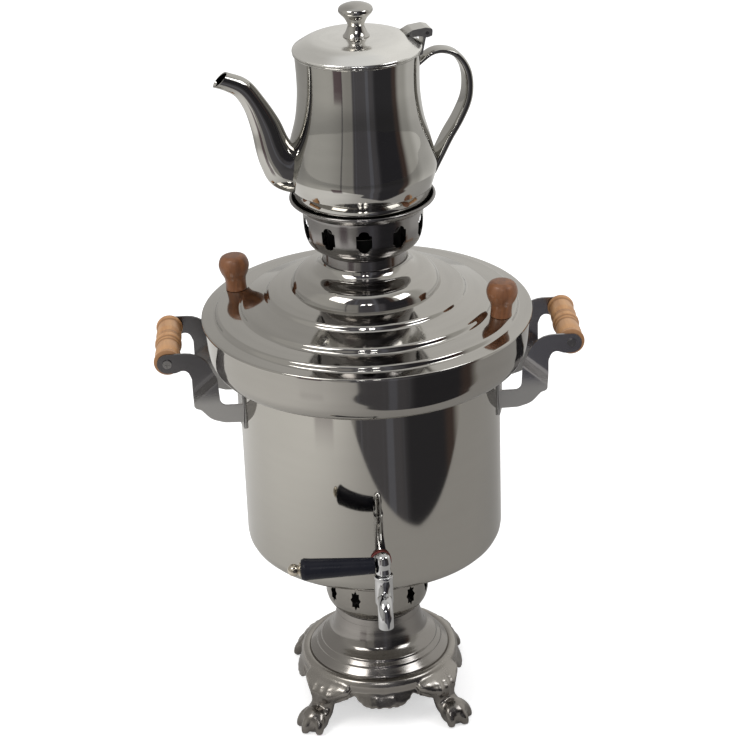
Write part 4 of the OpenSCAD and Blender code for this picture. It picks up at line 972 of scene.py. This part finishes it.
def makePull(p):
    foot, top = span("kettle_knob")[1:]
    tall, wide = top - foot, p["radius"]
    outline = [(0, foot), (p["foot"], foot, 0.3)] + flowing([
        (p["foot"], foot + 0.6), (9.6, foot + 3.4), (7.5, foot + 8.6), (7.6, foot + 11.4),
        (wide * 0.68, foot + tall * 0.56), (wide - 0.6, foot + tall * 0.72), (wide, foot + tall * 0.8),
        (wide - 1.6, foot + tall * 0.89), (wide * 0.5, foot + tall * 0.97), (0, top)], 10)
    bm = bmesh.new()
    drawProfile(bm, outline)
    turn(bm, 96)
    bmesh.ops.recalc_face_normals(bm, faces=bm.faces)
    finishPiece("kettlePull", bm, "kettle_lid", looks["pull"], ("kettle_knob",), crease=60)


makePull(pullSet)


# everything within the kettle's wall, cut away from what is joined to it
def kettleCore(k):
    bm = bmesh.new()
    drawProfile(bm, [(p[0] + 0.05 if p[0] else 0, *p[1:]) for p in k["line"]] + [(0, k["top"] - 0.2)])
    turn(bm)
    return addCutter(bm)


spoutSet = dict(reach=121, tip=125.5, tipRadius=7.8, thick=1, mouth=46)


def makeSpout(s, k):
    reach, end, radius = s["reach"], k["foot"] + s["tip"], k["radius"]
    root, tip, mouth = k["foot"] + k["tall"] * 0.277, s["tipRadius"], math.radians(s["mouth"])
    bm = sweptTube([
        (radius - 12.5, root, 15.5, 24), (radius - 0.5, root + 3, 14, 22), (radius + 7, root + 11.5, 12, 18),
        (radius + 12.2, root + 23.4, 10.8, 15.4), (radius + 17.5, root + 42.3, 9.6, 13.1),
        (reach - 27.9, end - 23.1, 8.8, 10.1), (reach - 18, end - 8.1, 8.2, 9.1),
        (reach - 5.5, end - 0.5, tip - 0.2, tip + 0.2),
        (reach + 7.5, end + 4.5, tip - 0.4, tip - 0.2)], 64)
    bmesh.ops.bisect_plane(bm, geom=bm.verts[:] + bm.edges[:] + bm.faces[:], plane_co=(reach + 1, 0, end + 2),
                           plane_no=(math.cos(mouth), 0, math.sin(mouth)), clear_outer=True)
    thicken(bm, s["thick"], (radius + 18, 0, root + 40))
    bmesh.ops.rotate(bm, cent=(0, 0, 0), matrix=Matrix.Rotation(math.pi + math.radians(k["turn"]), 3, "Z"),
                     verts=bm.verts)
    piece = finishPiece("spoutTube", bm, "kettle", looks["kettlePlain"], ("kettle_spout",))
    carve(piece, kettleCore(k), "DIFFERENCE")


makeSpout(spoutSet, kettleSet)

strapSet = dict(reach=103.3, wide=19, thick=8, power=0.6)


def makeStrap(s, k):
    neck, radius, foot, tall = k["neck"], k["radius"], k["foot"], k["tall"]
    out = s["reach"] - s["thick"] / 2
    # [x, share of the kettle's height, share of the width, share of the thickness]
    shares = [
        (neck - 4, 0.844, 0.72, 0.5), (neck + 4, 0.888, 0.72, 0.5), (neck + 12, 0.925, 0.75, 0.55),
        (neck + 21, 0.935, 0.8, 0.6), (out - 14, 0.913, 0.87, 0.7), (out - 6.5, 0.862, 0.93, 0.83),
        (out - 1.5, 0.787, 0.98, 0.94), (out, 0.695, 1, 1), (out - 2, 0.596, 1.05, 1),
        (out - 9.5, 0.482, 1.1, 0.95), (radius + 13, 0.369, 1.15, 0.9), (radius + 5.5, 0.27, 1.15, 0.85),
        (radius - 3, 0.156, 1.1, 0.8)]
    bm = sweptTube([(x, foot + z * tall, w * s["wide"] / 2, t * s["thick"] / 2) for x, z, w, t in shares],
                   48, s["power"], ends=True)
    bmesh.ops.rotate(bm, cent=(0, 0, 0), matrix=Matrix.Rotation(math.radians(k["turn"]), 3, "Z"),
                     verts=bm.verts)
    piece = finishPiece("kettleStrap", bm, "kettle", looks["kettlePlain"], ("kettle_handle",))
    carve(piece, kettleCore(k), "DIFFERENCE", 50)


makeStrap(strapSet, kettleSet)

softCopy("kettle_hinge_bracket", "kettle", looks["hinge"])
softCopy("kettle_hinge_leaf", "kettle_lid", looks["hinge"])
print("kettle made")

# side handles

# grooves: distances from each end of a grip, in millimetres, where lines of painted shade darken the wood
gripSet = dict(radius=12.5, length=80, hole=2.1, grooves=(0.6, 6.4, 31, 35.6))


def makeGrip(g, side):
    low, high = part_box("side_grip_" + side)
    centre = (low + high) / 2
    r, half = g["radius"], g["length"] / 2
    line = [(g["hole"], 0), (r - 3, 0), (r - 0.5, 1.2), (r, 3.4, 1.5), (r - 2, 6.4, 1), (r - 1, 14, 10),
            (r - 0.8, 24, 10), (r - 2.4, 31, 1), (r - 1, 33.4, 1.2), (r - 2, 35.6, 1), (r, 37.8, 1.5)]
    back = [(p[0], g["length"] - p[1], *p[2:]) for p in reversed(line)]
    bm = bmesh.new()
    drawProfile(bm, line + [(r - 0.6, half)] + back)
    turn(bm, 96)
    bmesh.ops.recalc_face_normals(bm, faces=bm.faces)
    spot = (Matrix.Translation(centre * 1000 + Vector((0, half, 0))) @ Matrix.Rotation(math.pi / 2, 4, "X"))
    bmesh.ops.transform(bm, matrix=spot, verts=bm.verts)
    wood = turnedWood("gripWood" + side, (0.60, 0.33, 0.15), (0.42, 0.20, 0.08), "Y", centre,
                      grooves=[sign * (half - at) / 1000 for at in g["grooves"] for sign in (-1, 1)])
    finishPiece("grip" + side, bm, "samovar", wood, ("side_grip_" + side,), crease=50)


for side in ("left", "right"):
    makeGrip(gripSet, side)
    softCopy("handle_bracket_" + side, "samovar", looks["arm"])
print("side handles made")

# tap

tapPieces = [
    ("tap_body", "samovar", "tap_chrome", "chrome"),
    ("tap_bonnet", "samovar", "tap_chrome", "chrome"),
    ("tap_plug", "tap_lever", "tap_chrome", "chrome"),
    ("lever_grip", "tap_lever", "lever_black", "black"),
    ("lever_ball", "tap_lever", "ball_nickel", "ball"),
]

for node, body, slot, look in tapPieces:
    softCopy(node, body, looks[look])
print("tap made")

# the CAD parts that stay as they are take their finish here
kept = dict(
    fire_tube="tube", fire_grate="iron", leg_screws="screw", grip_screws="screw", tap_washer_outer="washer",
    tap_washer_inner="washer", tap_nut="brass", lid_knob_screws="screw", kettle_knob_screw="screw",
    kettle_hinge_pin="screw",
)

for node, look in kept.items():
    slots = nodes[node].data.materials
    slots.clear()
    slots.append(looks[look])
print("finishes given to the kept parts")
